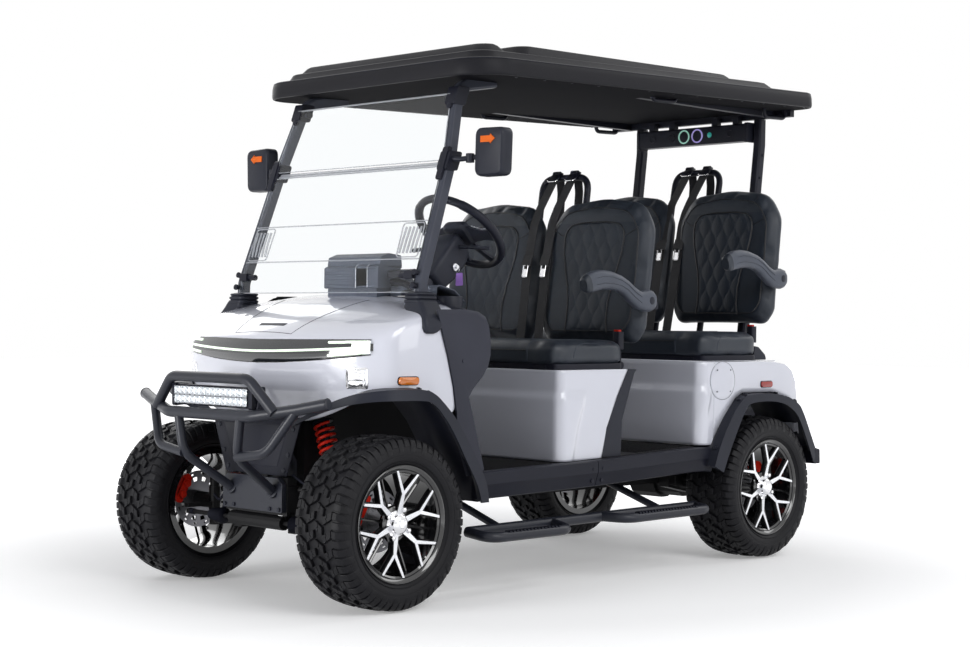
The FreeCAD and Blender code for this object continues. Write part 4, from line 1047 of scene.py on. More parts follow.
def swell(shape, voxel, cap, frames=20, pressure=4.0):
    """Closed form remeshed fine, then blown up a little as cloth; returns points (mm) and faces."""
    mesh = bpy.data.meshes.new("soft")
    mesh.from_pydata([(x * MM, y * MM, z * MM) for x, y, z in shape.verts], [], shape.faces)
    work = bmesh.new()
    work.from_mesh(mesh)
    bmesh.ops.recalc_face_normals(work, faces=work.faces)
    work.to_mesh(mesh)
    work.free()
    piece = bpy.data.objects.new("soft", mesh)
    scene = bpy.context.scene
    scene.collection.objects.link(piece)
    grid = piece.modifiers.new("voxel", "REMESH")
    grid.mode = "VOXEL"
    grid.voxel_size = voxel * MM
    bpy.context.view_layer.update()
    fine = bpy.data.meshes.new_from_object(piece.evaluated_get(bpy.context.evaluated_depsgraph_get()))
    piece.modifiers.clear()
    piece.data = fine
    start = np.array([v.co for v in fine.vertices]) / MM
    faces = [tuple(p.vertices) for p in fine.polygons]
    final = start
    cloth = piece.modifiers.new("cloth", "CLOTH")
    cloth.settings.quality = 4
    cloth.settings.mass = 0.4
    cloth.settings.tension_stiffness = 20
    cloth.settings.compression_stiffness = 20
    cloth.settings.bending_stiffness = 1.5
    cloth.settings.use_pressure = True
    cloth.settings.uniform_pressure_force = pressure
    cloth.settings.effector_weights.gravity = 0
    cloth.collision_settings.use_collision = False
    for f in range(1, frames + 1):
        scene.frame_set(f)
    blown = piece.evaluated_get(bpy.context.evaluated_depsgraph_get())
    moved = np.array([v.co for v in blown.data.vertices]) / MM
    step = moved - start
    size = np.linalg.norm(step, axis=1, keepdims=True)
    final = start + step * np.minimum(1.0, cap / np.maximum(size, 1e-6))
    piece.modifiers.clear()
    scene.frame_set(1)
    bpy.data.objects.remove(piece)
    return final, faces


def relaxed(points, faces, rounds=3):
    """Evens a soft form out a little."""
    edges = np.array([(f[i], f[(i + 1) % len(f)]) for f in faces for i in range(len(f))])
    for _ in range(rounds):
        total = np.zeros_like(points)
        count = np.zeros(len(points))
        np.add.at(total, edges[:, 0], points[edges[:, 1]])
        np.add.at(count, edges[:, 0], 1)
        points = points * 0.5 + 0.5 * total / count[:, None]
    return points


def fitted(points, limits):
    """Stretches a soft form to exact limits along x, y and z."""
    for axis, (low, high) in enumerate(limits):
        least, most = points[:, axis].min(), points[:, axis].max()
        points[:, axis] = low + (points[:, axis] - least) * (high - low) / (most - least)
    return points


def soft_piece(points, faces, slots, name, materials, body="root", replaces=(), slot="seat_dark"):
    shape = Shape()
    shape.verts = [tuple(p) for p in points]
    shape.faces = [list(f) for f in faces]
    shape.slots = slots
    piece = shape.make(name, materials, body, replaces, slot, smooth=0)
    return piece


BACK_OUTLINE = rounded([(-209, 0), (209, 0), (244, 50), (249, 240), (247, 420), (188, 514), (0, 538), (-188, 514),
                        (-247, 420), (-249, 240), (-244, 50)], [45, 45, 60, 300, 110, 120, 400, 120, 110, 300, 60], 4)


def insert_half(v):
    """Half width of the quilted panel at a height on the back."""
    return lerp([(0, 112), (60, 103), (130, 104), (200, 116), (270, 136), (330, 150), (385, 155), (412, 151),
                 (432, 140), (446, 120), (454, 88), (457, 0)], v)


def outline_share(u, v):
    """How far out a point of the back lies: 1 on its outline."""
    half = lerp([(0, 222), (45, 244), (240, 249), (420, 247), (470, 225), (514, 180), (538, 40)], v)
    across = abs(u) / max(half, 1)
    up = (v - 268) / 270
    return max(across, abs(up))


def back_form():
    """Blank of one seat back, thinner than the finished pad."""
    blank = Shape()
    rows = []
    for share, depth in ((0.0, -31), (0.35, -31), (0.7, -30), (0.88, -26), (0.955, -15), (0.97, 0), (0.955, 15),
                         (0.88, 26), (0.7, 28), (0.35, 29), (0.0, 29)):
        share = max(share, 0.02)
        rows.append([(u * share, depth, 268 + (v - 268) * share) for u, v in BACK_OUTLINE])
    blank.grid(rows, ring=True, caps=True)
    points, faces = swell(blank, 7.0, 15)
    points = relaxed(points, faces, 2)
    return fitted(points, ((-263, 263), (-50, 47), (-20, 556))), faces


def seat_backs():
    points, faces = back_form()
    slots = []
    for face in faces:
        u, w, v = points[list(face)].mean(axis=0)
        slots.append(0 if w < -12 and outline_share(u, v) < 0.90 and v < 452 else 1)
    tree = BVHTree.FromPolygons([Vector(p) for p in points], faces)

    def skin(u, v, lift=0.0):
        point = tree.ray_cast(Vector((u, -600, v)), Vector((0, 1, 0)))[0]
        if point is None:
            point = tree.find_nearest(Vector((u, -45, v)))[0]
        return Vector((u, point.y - lift, v))

    quilt = Shape()
    rows = []
    tall, wide = 110, 70
    for i in range(tall + 1):
        v = 14 + (455 - 14) * i / tall
        half = insert_half(v)
        row = []
        for j in range(wide + 1):
            s = 2 * j / wide - 1
            u = s * half
            wave = v / 132 - 0.035 * math.sin(TAU * v / 66)
            puff = math.sqrt(abs(math.sin(math.pi * (u / 64 + wave)) * math.sin(math.pi * (u / 64 - wave))))
            edge = min(1.0, (1 - abs(s)) * half / 9, (v - 14) / 9 + 0.01, (455 - v) / 9 + 0.01)
            row.append(skin(u, v, -1.5 + 2.2 * edge + 2.4 * puff * edge))
        rows.append(row)
    quilt.grid(rows)
    thread = Shape()
    for sign in (1, -1):
        for k in range(-7, 8):
            line = []
            for i in range(90):
                v = 18 + 432 * i / 89
                wave = v / 132 - 0.035 * math.sin(TAU * v / 66)
                u = 64 * (k - sign * wave)
                if abs(u) < insert_half(v) - 8:
                    line.append(skin(u, v, 0.75))
                elif len(line) > 3:
                    thread.tube(line, 0.5, 4)
                    line = []
                else:
                    line = []
            if len(line) > 3:
                thread.tube(line, 0.5, 4)
    piping = Shape()
    left = [(-insert_half(14 + 441 * k / 50), 14 + 441 * k / 50) for k in range(51)]
    loop = left + [(-u, v) for u, v in reversed(left)]
    piping.tube([skin(u, v, 1.2) for u, v in loop], 3.2, 8)
    ring = [(u * 0.905, 268 + (v - 268) * 0.925) for u, v in BACK_OUTLINE]
    ring.append(ring[0])
    piping.tube([skin(u, v, 0.6) for u, v in ring], 2.6, 8, caps=False)
    for side in (1, -1):
        piping.tube([skin(side * (150 + 68 * k / 8), 398 + 34 * k / 8 - 6 * math.sin(math.pi * k / 8), 0.2)
                     for k in range(9)], 1.8, 6)
    places = []
    for x, y, z, lean in BACKS:
        places.append(Matrix.Translation((x, y, z)) @ Matrix.Rotation(-lean, 4, "X"))
    for (x, y, _, _), place in zip(BACKS, places):
        label = ("front" if y < 700 else "rear") + ("_left" if x > 0 else "_right")
        world = np.array(place)
        out = points @ world[:3, :3].T + world[:3, 3]
        soft_piece(out, faces, slots, "seat_back_" + label, [SEAT, BOLSTER], replaces=["seat_backs"])
        panel = quilt.copies([place]).make("quilted_panel_" + label, SEAT, slot="seat_dark", smooth=0)
    thread.copies(places).make("quilt_thread", THREAD)
    piping.copies(places).make("back_piping", PIPING)


def cushion(name, node, y0, y1, z0, z1, half, body):
    """Bench cushion, crowned along its length, on a black base."""
    blank = Shape()
    rows = []
    deep, tall = (y1 - y0) / 2, (z1 - z0) / 2
    middle_y, middle_z = (y0 + y1) / 2, (z0 + z1) / 2 + 8
    for x in (-1, -0.985, -0.95, -0.85, -0.6, -0.3, 0, 0.3, 0.6, 0.85, 0.95, 0.985, 1):
        ease = min(1.0, 0.62 + 0.38 * ((1 - abs(x)) / 0.06) ** 0.5)
        section = rounded([(-deep + 14, -tall + 12), (deep - 14, -tall + 12), (deep - 14, tall - 16),
                           (-deep + 14, tall - 16)], [10, 10, 26, 34], 4)
        rows.append([(x * (half - 12), middle_y + a * ease, middle_z + b * ease) for a, b in section])
    blank.grid(rows, ring=True, caps=True)
    points, faces = swell(blank, 9.0, 13)
    points = relaxed(points, faces, 2)
    points = fitted(points, ((-half, half), (y0 - 3, y1 - 1), (z0 + 8, z1 + 6)))
    points[:, 2] = np.maximum(points[:, 2], z0 + 16)
    tree = BVHTree.FromPolygons([Vector(p) for p in points], faces)
    slots = [1 if abs(points[list(f)].mean(axis=0)[0]) > half - 150 else 0 for f in faces]
    soft_piece(points, faces, slots, name, [SEAT, BOLSTER], body, [node])
    seam, cord = Shape(), Shape()

    def over(x, steps=30):
        """Line over the cushion from the front's foot to the rear."""
        path = []
        for k in range(steps + 1):
            a = math.pi * (0.02 + 0.72 * k / steps)
            out = Vector((0, -math.cos(a), math.sin(a)))
            start = Vector((x, middle_y, z0 + 20)) + out * 600
            point = tree.ray_cast(start, -out)[0]
            if point is not None:
                path.append(point + out * 0.4)
        return path
    for side in (1, -1):
        seam.tube(over(side * (half - 150)), 1.0, 5)
        seam.tube(over(side * (half - 156)), 0.8, 5)
        edge = []
        for k in range(31):
            a = math.pi * (0.04 + 0.7 * k / 30)
            out = Vector((side * 0.55, -math.cos(a), math.sin(a))).normalized()
            point = tree.ray_cast(Vector((side * (half - 60), middle_y, z0 + 30)) + out * 600, -out)[0]
            if point is not None:
                edge.append(point + out * 0.3)
        seam.tube(edge, 1.1, 5)
    front = [tree.ray_cast(Vector((x, y0 - 200, z1 - 34)), Vector((0, 1, 0)))[0]
             for x in np.linspace(-half + 160, half - 160, 60)]
    cord.tube([p + Vector((0, -0.6, 0)) for p in front if p is not None], 2.0, 6)
    seam.make(name + "_thread", THREAD, body)
    cord.make(name + "_piping", PIPING, body)
    base = Shape()
    base.prism(rounded([(-half + 12, y0 + 9), (half - 12, y0 + 9), (half - 12, y1 - 6), (-half + 12, y1 - 6)], 26),
               "z", z0, z0 + 22)
    for x in (-half + 90, -half / 3, half / 3, half - 90):
        base.box(x - 28, x + 28, y0 + 6, y0 + 11, z0, z0 + 14)
    base.make(name + "_base", BLACK, body, bevel=2)


def cushions():
    cushion("front_cushion", "front_seat_cushion", -197, 200, 788.3, 893, 548, "seat_lid")
    cushion("rear_cushion", "rear_seat_cushion", 686, 1060, 813.5, 926, 548, "root")


def hoops():
    """Belt hoops, crossbars, cheeks and the armrests' bosses."""
    frame_tubes = Shape()
    for y0, z0, y1, z1, rear in HOOPS:
        path = arc_path([(-125, y0, z0), (-125, y1, z1), (125, y1, z1), (125, y0, z0)], 62, 10)
        frame_tubes.tube(path, 14, 20)
        rows = ((1030, 0), (1260, 0)) if not rear else ((1178, -17), (1300, -26))
        for (z, shift), reach in zip(rows, (540, 440)):
            y = y0 + (y1 - y0) * (z - z0) / (z1 - z0) + shift
            frame_tubes.tube([(-reach, y, z), (reach, y, z)], 13, 18)
            for s in (1, -1):
                frame_tubes.box(s * 285 - 60, s * 285 + 60, y - 20, y - 8, z - 22, z + 22)
        py, pz = ((285, 1050), (1150, 1155))[rear]
        z, shift = rows[0]
        by = y0 + (y1 - y0) * (z - z0) / (z1 - z0) + shift
        for s in (1, -1):
            outline = rounded([(py - 20, pz - 20), (by + 14, z - 14), (by + 14, z + 16), (py - 20, pz + 20)], 9)
            frame_tubes.prism(outline, "x", s * 537, s * 543)
            frame_tubes.turn([(0, 0.3), (0, 17), (11.5, 17), (11.5, 0.3)], (s * 540, py, pz), (s, 0, 0), 24)
    frame_tubes.make("belt_hoops", BLACK, replaces=["seat_frames"], slot="satin_steel", bevel=1.2)


BELT_LINES = [[(432, 1550), (350, 1430), (318, 1370), (300, 1300), (281, 1215), (238, 898)],
              [(1320, 1629), (1224, 1506), (1188, 1452), (1164, 1396), (1146, 1310), (1062, 930)]]


def belts():
    webs, guides, tongues = Shape(), Shape(), Shape()
    for row, (line, hoop) in enumerate(zip(BELT_LINES, HOOPS)):
        top_y, top_z = hoop[2], hoop[3]
        for s in (1, -1):
            x = s * 49
            path = arc_path([(x, y, z) for y, z in line], [0, 160, 160, 160, 160, 0], 6)
            webs.tube(path, 0, flat=(46, 2.4), up=(0, -1, 0.2))
            fold_y, fold_z = line[4]
            webs.tube([(x, fold_y + 5, fold_z + 22), (x, fold_y - 3, fold_z + 2), (x, fold_y - 12, fold_z - 24)], 0,
                      flat=(50, 7), up=(0, -1, 0.2))
            behind = arc_path([(x, top_y + 17, top_z + 6), (x, top_y + 26, top_z - 60), (x, top_y + 2, top_z - 330),
                               (x, top_y - 20, top_z - 520)], 80, 6)
            webs.tube(behind, 0, flat=(44, 2.4), up=(0, 1, 0.2))
            bell = []
            for t, w, h in ((0, 20, 8), (0.25, 24, 12), (0.6, 27, 15), (1.0, 29, 13)):
                centre = Vector((x, top_y + 16 - 44 * t, top_z + 18 - 24 * t ** 1.6))
                bell.append([centre + Vector((w * math.cos(a), 0.35 * h * math.sin(a), h * math.sin(a)))
                             for a in (TAU * k / 20 for k in range(20))])
            guides.grid(bell, 0, ring=True, caps=True)
            guides.tube([(x - 27, top_y - 29, top_z - 9), (x - 20, top_y - 33, top_z - 14),
                         (x + 20, top_y - 33, top_z - 14), (x + 27, top_y - 29, top_z - 9)], 3.2, 10, slot=1)
            guides.turn([(-16, 0.3), (-16, 13), (16, 13), (16, 0.3)], (x, top_y, top_z + 16), (1, 0, 0), 20)
            y, z = line[4][0] - 14, line[4][1] - 22
            frame_path = [(x - 11, y, z), (x + 11, y, z), (x + 11, y - 10, z - 46), (x - 11, y - 10, z - 46),
                          (x - 11, y, z)]
            tongues.tube(frame_path, 3.0, 8, caps=False)
            tongues.tube([(x, y - 3, z - 14), (x, y - 11, z - 48)], 0, flat=(17, 2.2), up=(0, -1, 0))
    webs.make("belt_webs", WEB, slot="seat_dark", smooth=40)
    guides.make("belt_guides", [BLACK, CHROME], slot="trim_black", smooth=40)
    tongues.make("belt_tongues", CHROME, smooth=40)
    clasp = Shape()
    for y, z, high in ((215, 788.3, 934), (1077, 813.5, 958)):
        for s in (1, -1):
            x = s * 495
            clasp.tube([(x, y + 3, z), (x, y, z + 30), (x - s * 2, y - 4, high - 58)], 0, flat=(20, 9),
                       up=(0, 1, 0))
            body = rounded([(x - 17, y - 21), (x + 17, y - 21), (x + 17, y + 11), (x - 17, y + 11)], 8)
            clasp.prism(body, "z", high - 72, high - 4)
            clasp.box(x - 12, x + 12, y - 18, y - 2, high - 4, high + 3, 1)
            clasp.turn([(-10, 0.3), (-10, 14), (10, 14), (10, 0.3)], (x, y + 6, z + 12), (1, 0, 0), 18)
    clasp.make("belt_clasps", [BLACK, RED], bevel=1.2)


def armrest_form(side, py, pz):
    """Padded S arm: round bulb at its pivot, a waist, a raised palm rest and an end cap."""
    stations = [(38, 0, 20, 30), (33, 0, 48, 40), (20, 0, 68, 46), (0, 0, 77, 48), (-25, -1, 72, 48),
                (-60, 2, 62, 47), (-100, 22, 56, 46), (-140, 48, 54, 46), (-180, 64, 56, 47), (-230, 73, 62, 48),
                (-280, 74, 67, 48), (-320, 67, 68, 47), (-348, 58, 64, 46), (-364, 52, 54, 43), (-372, 50, 40, 36)]
    shape = Shape()
    stations = [(a, b, h * 1.12, w) for a, b, h, w in stations]
    centre = [Vector((0, py + a, pz + b)) for a, b, _, _ in stations]
    rows = []
    for i, (_, _, h, w) in enumerate(stations):
        along = (centre[min(i + 1, len(centre) - 1)] - centre[max(i - 1, 0)]).normalized()
        up = along.cross(Vector((1, 0, 0))).normalized()
        row = []
        for k in range(28):
            a = TAU * k / 28
            c, s = math.cos(a), math.sin(a)
            c, s = (math.copysign(abs(q) ** 0.72, q) for q in (c, s))
            row.append(centre[i] + Vector((side * 576 + w / 2 * c, 0, 0)) + up * (h / 2 * s))
        rows.append(row)
    fine = []
    for first, second in zip(rows, rows[1:]):
        for k in range(3):
            fine.append([p.lerp(q, k / 3) for p, q in zip(first, second)])
    fine.append(rows[-1])
    split = len(fine) - 7
    shape.grid(fine[:split + 1], 0, ring=True, caps=True)
    shape.grid(fine[split:], 1, ring=True, caps=True)
    return shape


def armrests():
    for row, y, z in (("front", 285, 1050), ("rear", 1150, 1155)):
        for label, side in (("left", 1), ("right", -1)):
            node = f"armrest_{row}_{label}"
            body = f"arm_{row}_{label}"
            piece = armrest_form(side, y, z).make(node + "_pad", [ARM, BOLSTER], body, [node], "armrest_grey",
                                                  smooth=45)
            seam = Shape()
            for lift in (14, -14):
                seam.tube([(side * (576 + 23.6), y + a, z + b + lift * (h / 60)) for a, b, h in
                           ((-60, 2, 50), (-100, 22, 44), (-140, 48, 42), (-180, 64, 44), (-230, 73, 50),
                            (-280, 74, 54), (-320, 67, 54))], 0.8, 5)
            seam.turn([(-2, 0.3), (-2, 15), (1.2, 15), (2.2, 12), (2.2, 0.3)], (side * 599, y, z), (side, 0, 0), 24)
            seam.make(node + "_trim", DARK, body, smooth=40)
# Canopy, screens, mirrors and rear bar

def crowned(z):
    """The rake eases off towards the top of the canopy."""
    return z if z < 1972 else 1972 + (z - 1972) * 0.5


def roof_ring(inset, lift, nose=0.0, tail=0.0, steps=9):
    half = 620 - inset
    front, rear = -680 + inset + nose, 1378 - inset - tail
    big, small = max(150 - inset, 46), max(90 - inset, 40)
    right = []
    for centre_y, sign, size in ((front + big, -1, big), (rear - small, 1, small)):
        for k in range(steps + 1):
            a = math.radians(90 - 90 * k / steps if sign < 0 else 90 * k / steps)
            right.append((half - size + size * math.cos(a), centre_y + sign * size * math.sin(a)))
    outline = right + [(-x, y) for x, y in reversed(right)]
    return [(x, y, crowned(1842 + lift + 0.0316 * (y + 680))) for x, y in outline]


def roof():
    skin = Shape()
    outer = [(10, -21), (4, -20), (1, -15), (0, -8), (1, 18), (4, 33), (8, 40), (14, 43), (34, 45), (58, 47, 0, 150),
             (66, 52, 0, 165), (80, 73, 0, 186), (90, 77, 0, 192), (120, 78, 0, 200), (300, 79, 0, 300)]
    skin.grid([roof_ring(*r) for r in outer], ring=True)
    for height, nose, tail in ((107, 0, 1690), (114, 200, 350)):
        tier = [(104, 70, nose, tail), (108, 76, nose, tail), (124, height - 6, nose + 6, tail + 12),
                (130, height - 1, nose + 9, tail + 17), (142, height, nose + 14, tail + 24)]
        skin.grid([roof_ring(*r) for r in tier], ring=True, caps=True)
    inner = [(10, -21), (26, -19), (34, -14), (42, 4), (54, 20), (72, 28), (110, 31), (300, 33)]
    skin.grid([roof_ring(*r) for r in inner], 1, ring=True, caps=True)
    skin.make("canopy", [ROOF, LINING], replaces=["roof"], slot="roof_plastic", smooth=32)
    lines = Shape()
    for inset, lift in ((1.4, -1), (6, 38)):
        ring = roof_ring(inset, lift)
        lines.tube(ring + ring[:1], 1.0, 6, caps=False)
    for x0, x1, y0, y1 in ((-330, 330, -520, -330), (-330, 330, -250, 240), (-330, 330, 330, 820)):
        panel = rounded([(x0, y0), (x1, y0), (x1, y1), (x0, y1)], 50, 6)
        lines.grid([[(x, y, 1842 + lift + 0.0316 * (y + 680)) for x, y in panel] for lift in (34, 26)], ring=True,
                   caps=True)
    for s in (1, -1):
        for k in range(13):
            y = -480 + 148 * k
            lines.turn([(0, 0.3), (0, 5), (3, 4.6), (3.4, 0.3)], (s * 596, y, 1842 - 20 + 0.0316 * (y + 680)),
                       (0, 0, -1), 12)
    lines.make("canopy_lines", BLACK, smooth=40)
    light = Shape()
    for s in (1, -1):
        light.tube([(s * 566, y, 1842 - 8 + 0.0316 * (y + 680)) for y in range(-380, 1200, 60)], 7, 10)
        for y in (-250, 200, 650, 1050):
            z = 1842 - 8 + 0.0316 * (y + 680)
            light.box(s * 566 - 12, s * 566 + 12, y - 16, y + 16, z - 10, z + 12)
    light.make("canopy_rail", DARK, bevel=1)
    rails = Shape()
    for s in (1, -1):
        rails.box(s * 385, s * 415, -580, 1360, 1856, 1886)
        for y in (380, 900, 1345):
            rails.box(s * 388, s * 412, y - 20, y + 20, 1884, 1868 + 0.0316 * (y + 680))
    for y in (-560, 380, 1345):
        rails.box(-500, 500, y - 15, y + 15, 1856, 1886)
    rails.make("canopy_rails", BLACK, replaces=["roof_frame"], slot="satin_steel", bevel=2)
    grips = Shape()
    for s in (1, -1):
        for y in (430, 1180):
            grips.tube(arc_path([(s * 470, y, 1895), (s * 470, y, 1845), (s * 470, y + 150, 1850),
                                 (s * 470, y + 150, 1900)], 26, 6), 9, 12)
    grips.make("grab_handles", BLACK, smooth=40)


def strut_face(z):
    """Depth of the front faces of the screen struts."""
    return lerp([(1100, -855.7), (1516, -706.7), (1800, -615.4)], z) if z > 1100 else -855.7 - (1100 - z) * 0.02


def strut_at(z):
    return lerp([(1010, 490), (1100, 489), (1516, 469), (1800, 419)], z)


def struts():
    bars = Shape()
    path = arc_path([(490, -834, 1014), (489, -832, 1100), (469, -683, 1516), (419, -592, 1800),
                     (405, -400, 1834)], [0, 60, 60, 90, 0], 8)
    bars.tube(path, 0, flat=(44, 34), up=(1, 0, 0))
    bars.box(380, 428, -470, -392, 1834, 1850)
    for y in (-455, -410):
        bars.turn([(0, 7), (6, 6.5), (6, 0.3)], (405, y, 1820), (0, 0, -1), 12)
    bars.both().make("screen_struts", STRUT, replaces=["front_struts"], slot="satin_steel", bevel=4)
    boot = Shape()
    rows = []
    for z, cx, cy, hx, hy in ((1008, 492, -838, 44, 46), (1018, 491, -836, 42, 45), (1022, 491, -835, 36, 40),
                              (1026, 491, -835, 44, 47), (1034, 490, -834, 44, 47), (1037, 490, -834, 37, 41),
                              (1041, 490, -833, 43, 46), (1048, 490, -833, 43, 46), (1051, 490, -832, 36, 40),
                              (1055, 490, -832, 41, 44), (1060, 489, -831, 41, 44), (1064, 489, -831, 24, 28)):
        rows.append([(cx + a * hx, cy + b * hy, z) for a, b in
                     rounded([(-1, -1), (1, -1), (1, 1), (-1, 1)], 0.5, 5)])
    boot.grid(rows, ring=True, caps=True)
    rows = []
    for z, x0, x1, y0, y1 in ((1030, 452, 536, -880, -788), (1008, 455, 552, -884, -789), (985, 480, 570, -890, -792),
                              (962, 520, 581, -896, -800), (940, 545, 586, -898, -815), (926, 552, 585, -892, -835),
                              (921, 556, 580, -882, -850)):
        rows.append([(x, y, z) for x, y in rounded([(x0, y0), (x1, y0), (x1, y1), (x0, y1)], 18, 5)])
    boot.grid(rows, ring=True, caps=True)
    boot.both().make("strut_boots", DARK, slot="trim_black", bevel=2, smooth=40)
    clamp = Shape()
    for z in (1524, 1762):
        x, y = strut_at(z), strut_face(z) + 23
        lean = lambda dz: y + dz * 0.35
        outline = [(lean(-34) - 30, z - 34), (lean(-34) + 30, z - 34), (lean(34) + 32, z + 34), (lean(34) - 30, z + 34)]
        clamp.prism(rounded(outline, 10), "x", x - 24, x + 24)
        if z < 1600:
            arm = [(lean(-62) - 36, z - 66), (lean(-62) - 14, z - 70), (lean(50) - 12, z + 48), (lean(50) - 34, z + 52)]
            clamp.prism(rounded(arm, 12), "x", x - 13, x + 13)
        for side in (-1,):
            clamp.turn([(0, 0.3), (0, 9), (14, 9), (14, 14), (26, 14), (27, 12), (27, 0.3)], (x - 20, y, z - 8),
                       (side, 0, 0), 18)
            clamp.turn([(0, 0.3), (0, 13), (15, 13), (16, 11), (16, 0.3)], (x, y - 26, z - 40), (0, -1, 0.3), 18)
    for z in (1082, 1128):
        x, y = strut_at(z), strut_face(z)
        clamp.turn([(0, 0.3), (0, 8), (12, 8), (12, 11), (20, 11), (21, 0.3)], (x, y, z), (0, -1, 0.2), 16)
    clamp.box(436, 478, -866, -838, 1108, 1136)
    clamp.tube([(470, -850, 1122), (400, -846, 1120)], 11, 12)
    clamp.both().make("strut_clamps", BLACK, slot="trim_black", bevel=2, smooth=40)


def screens():
    def pane(shape, levels, slot=0, cut=5):
        front, back = [], []
        for z, extra in levels:
            half = strut_at(min(z, 1800)) - cut
            y = strut_face(z) + extra
            front.append([(half * k / 12, y - 4.6, z) for k in range(-12, 13)])
            back.append([(half * k / 12, y - 0.6, z) for k in range(12, -13, -1)])
        shape.grid([f + b for f, b in zip(front, back)], slot, ring=True, caps=True)
    low, high = Shape(), Shape()
    pane(low, [(1062 + 44 * k, 0) for k in range(11)])
    pane(high, [(1526 + 40 * k, 0) for k in range(7)])
    low.make("lower_screen", SCREEN, replaces=["windshield_lower"], slot="screen_clear", smooth=30)
    high.make("upper_screen", SCREEN, replaces=["windshield_upper"], slot="screen_clear", smooth=30)
    edges = Shape()
    for z0, z1 in ((1062, 1502), (1526, 1766)):
        def corner(z, s):
            return Vector((s * (strut_at(z) - 5), strut_face(z) - 2.6, z))
        ring = [corner(z0, -1), corner(z0, 1), corner(z1, 1), corner(z1, -1), corner(z0, -1)]
        for a, b in zip(ring, ring[1:]):
            edges.tube([a, b], 2.0, 6)
    edges.tube([(-strut_at(1766) + 6, strut_face(1766) - 3, 1768), (strut_at(1766) - 6, strut_face(1766) - 3, 1768)],
               3.4, 8)
    for dz in (-4, 4):
        edges.tube([(-strut_at(1512), strut_face(1512) + 12 + dz, 1512 + dz),
                    (strut_at(1512), strut_face(1512) + 12 + dz, 1512 + dz)], 5.5, 10)
    for z in (1178, 1312):
        edges.tube([(-strut_at(z) + 8, strut_face(z) - 5, z), (strut_at(z) - 8, strut_face(z) - 5, z)], 2.4, 8)
    for s in (1, -1):
        def at(u, v, lift=6):
            z = 1245 + v
            return Vector((s * (strut_at(z) - 70 + u), strut_face(z) - lift, z))
        frame_path = [at(u, v) for u, v in rounded([(-54, -60), (54, -60), (54, 60), (-54, 60)], 14, 4)]
        edges.tube(frame_path + frame_path[:1], 2.6, 8, caps=False)
        for k in range(5):
            u = -38 + 19 * k
            edges.tube([at(u - 4, -46, 7), at(u + 1, 0, 9), at(u + 4, 46, 7)], 4.2, 8)
    edges.make("screen_edges", EDGE, smooth=40)


def mirrors():
    head, arrow, glass = Shape(), Shape(), Shape()
    outline = rounded([(568, 1466), (700, 1466), (706, 1632), (572, 1636)], 26, 6)
    rows = []
    for y, share in ((-668, 0.86), (-666, 0.93), (-660, 0.98), (-650, 1.0), (-618, 1.0), (-613, 0.98), (-612, 0.95)):
        rows.append([(636 + (x - 636) * share, y + 6, 1550 + (z - 1550) * share) for x, z in outline])
    head.grid(rows, ring=True, caps=True)
    head.tube(arc_path([(466, -690, 1532), (520, -676, 1528), (566, -640, 1536)], 30, 5), 9, 12)
    head.turn([(-16, 0.3), (-16, 15), (16, 15), (16, 0.3)], (545, -655, 1532), (0, 0, 1), 16)
    for s in (1, -1):
        pts = [(604, 1582), (604, 1604), (650, 1604), (650, 1610), (672, 1593), (650, 1576), (650, 1582)]
        arrow.prism([(s * x, z) for x, z in pts], "y", -661, -665.5)
        glass.prism([(s * (636 + (x - 636) * 0.9), 1550 + (z - 1550) * 0.92) for x, z in outline], "y", -606.5, -604)
    head.both().make("mirror_heads", DARK, replaces=["mirrors"], slot="trim_black", bevel=1.5, smooth=40)
    arrow.make("mirror_arrows", ORANGE, smooth=30)
    glass.make("mirror_glass", CHROME, smooth=30)


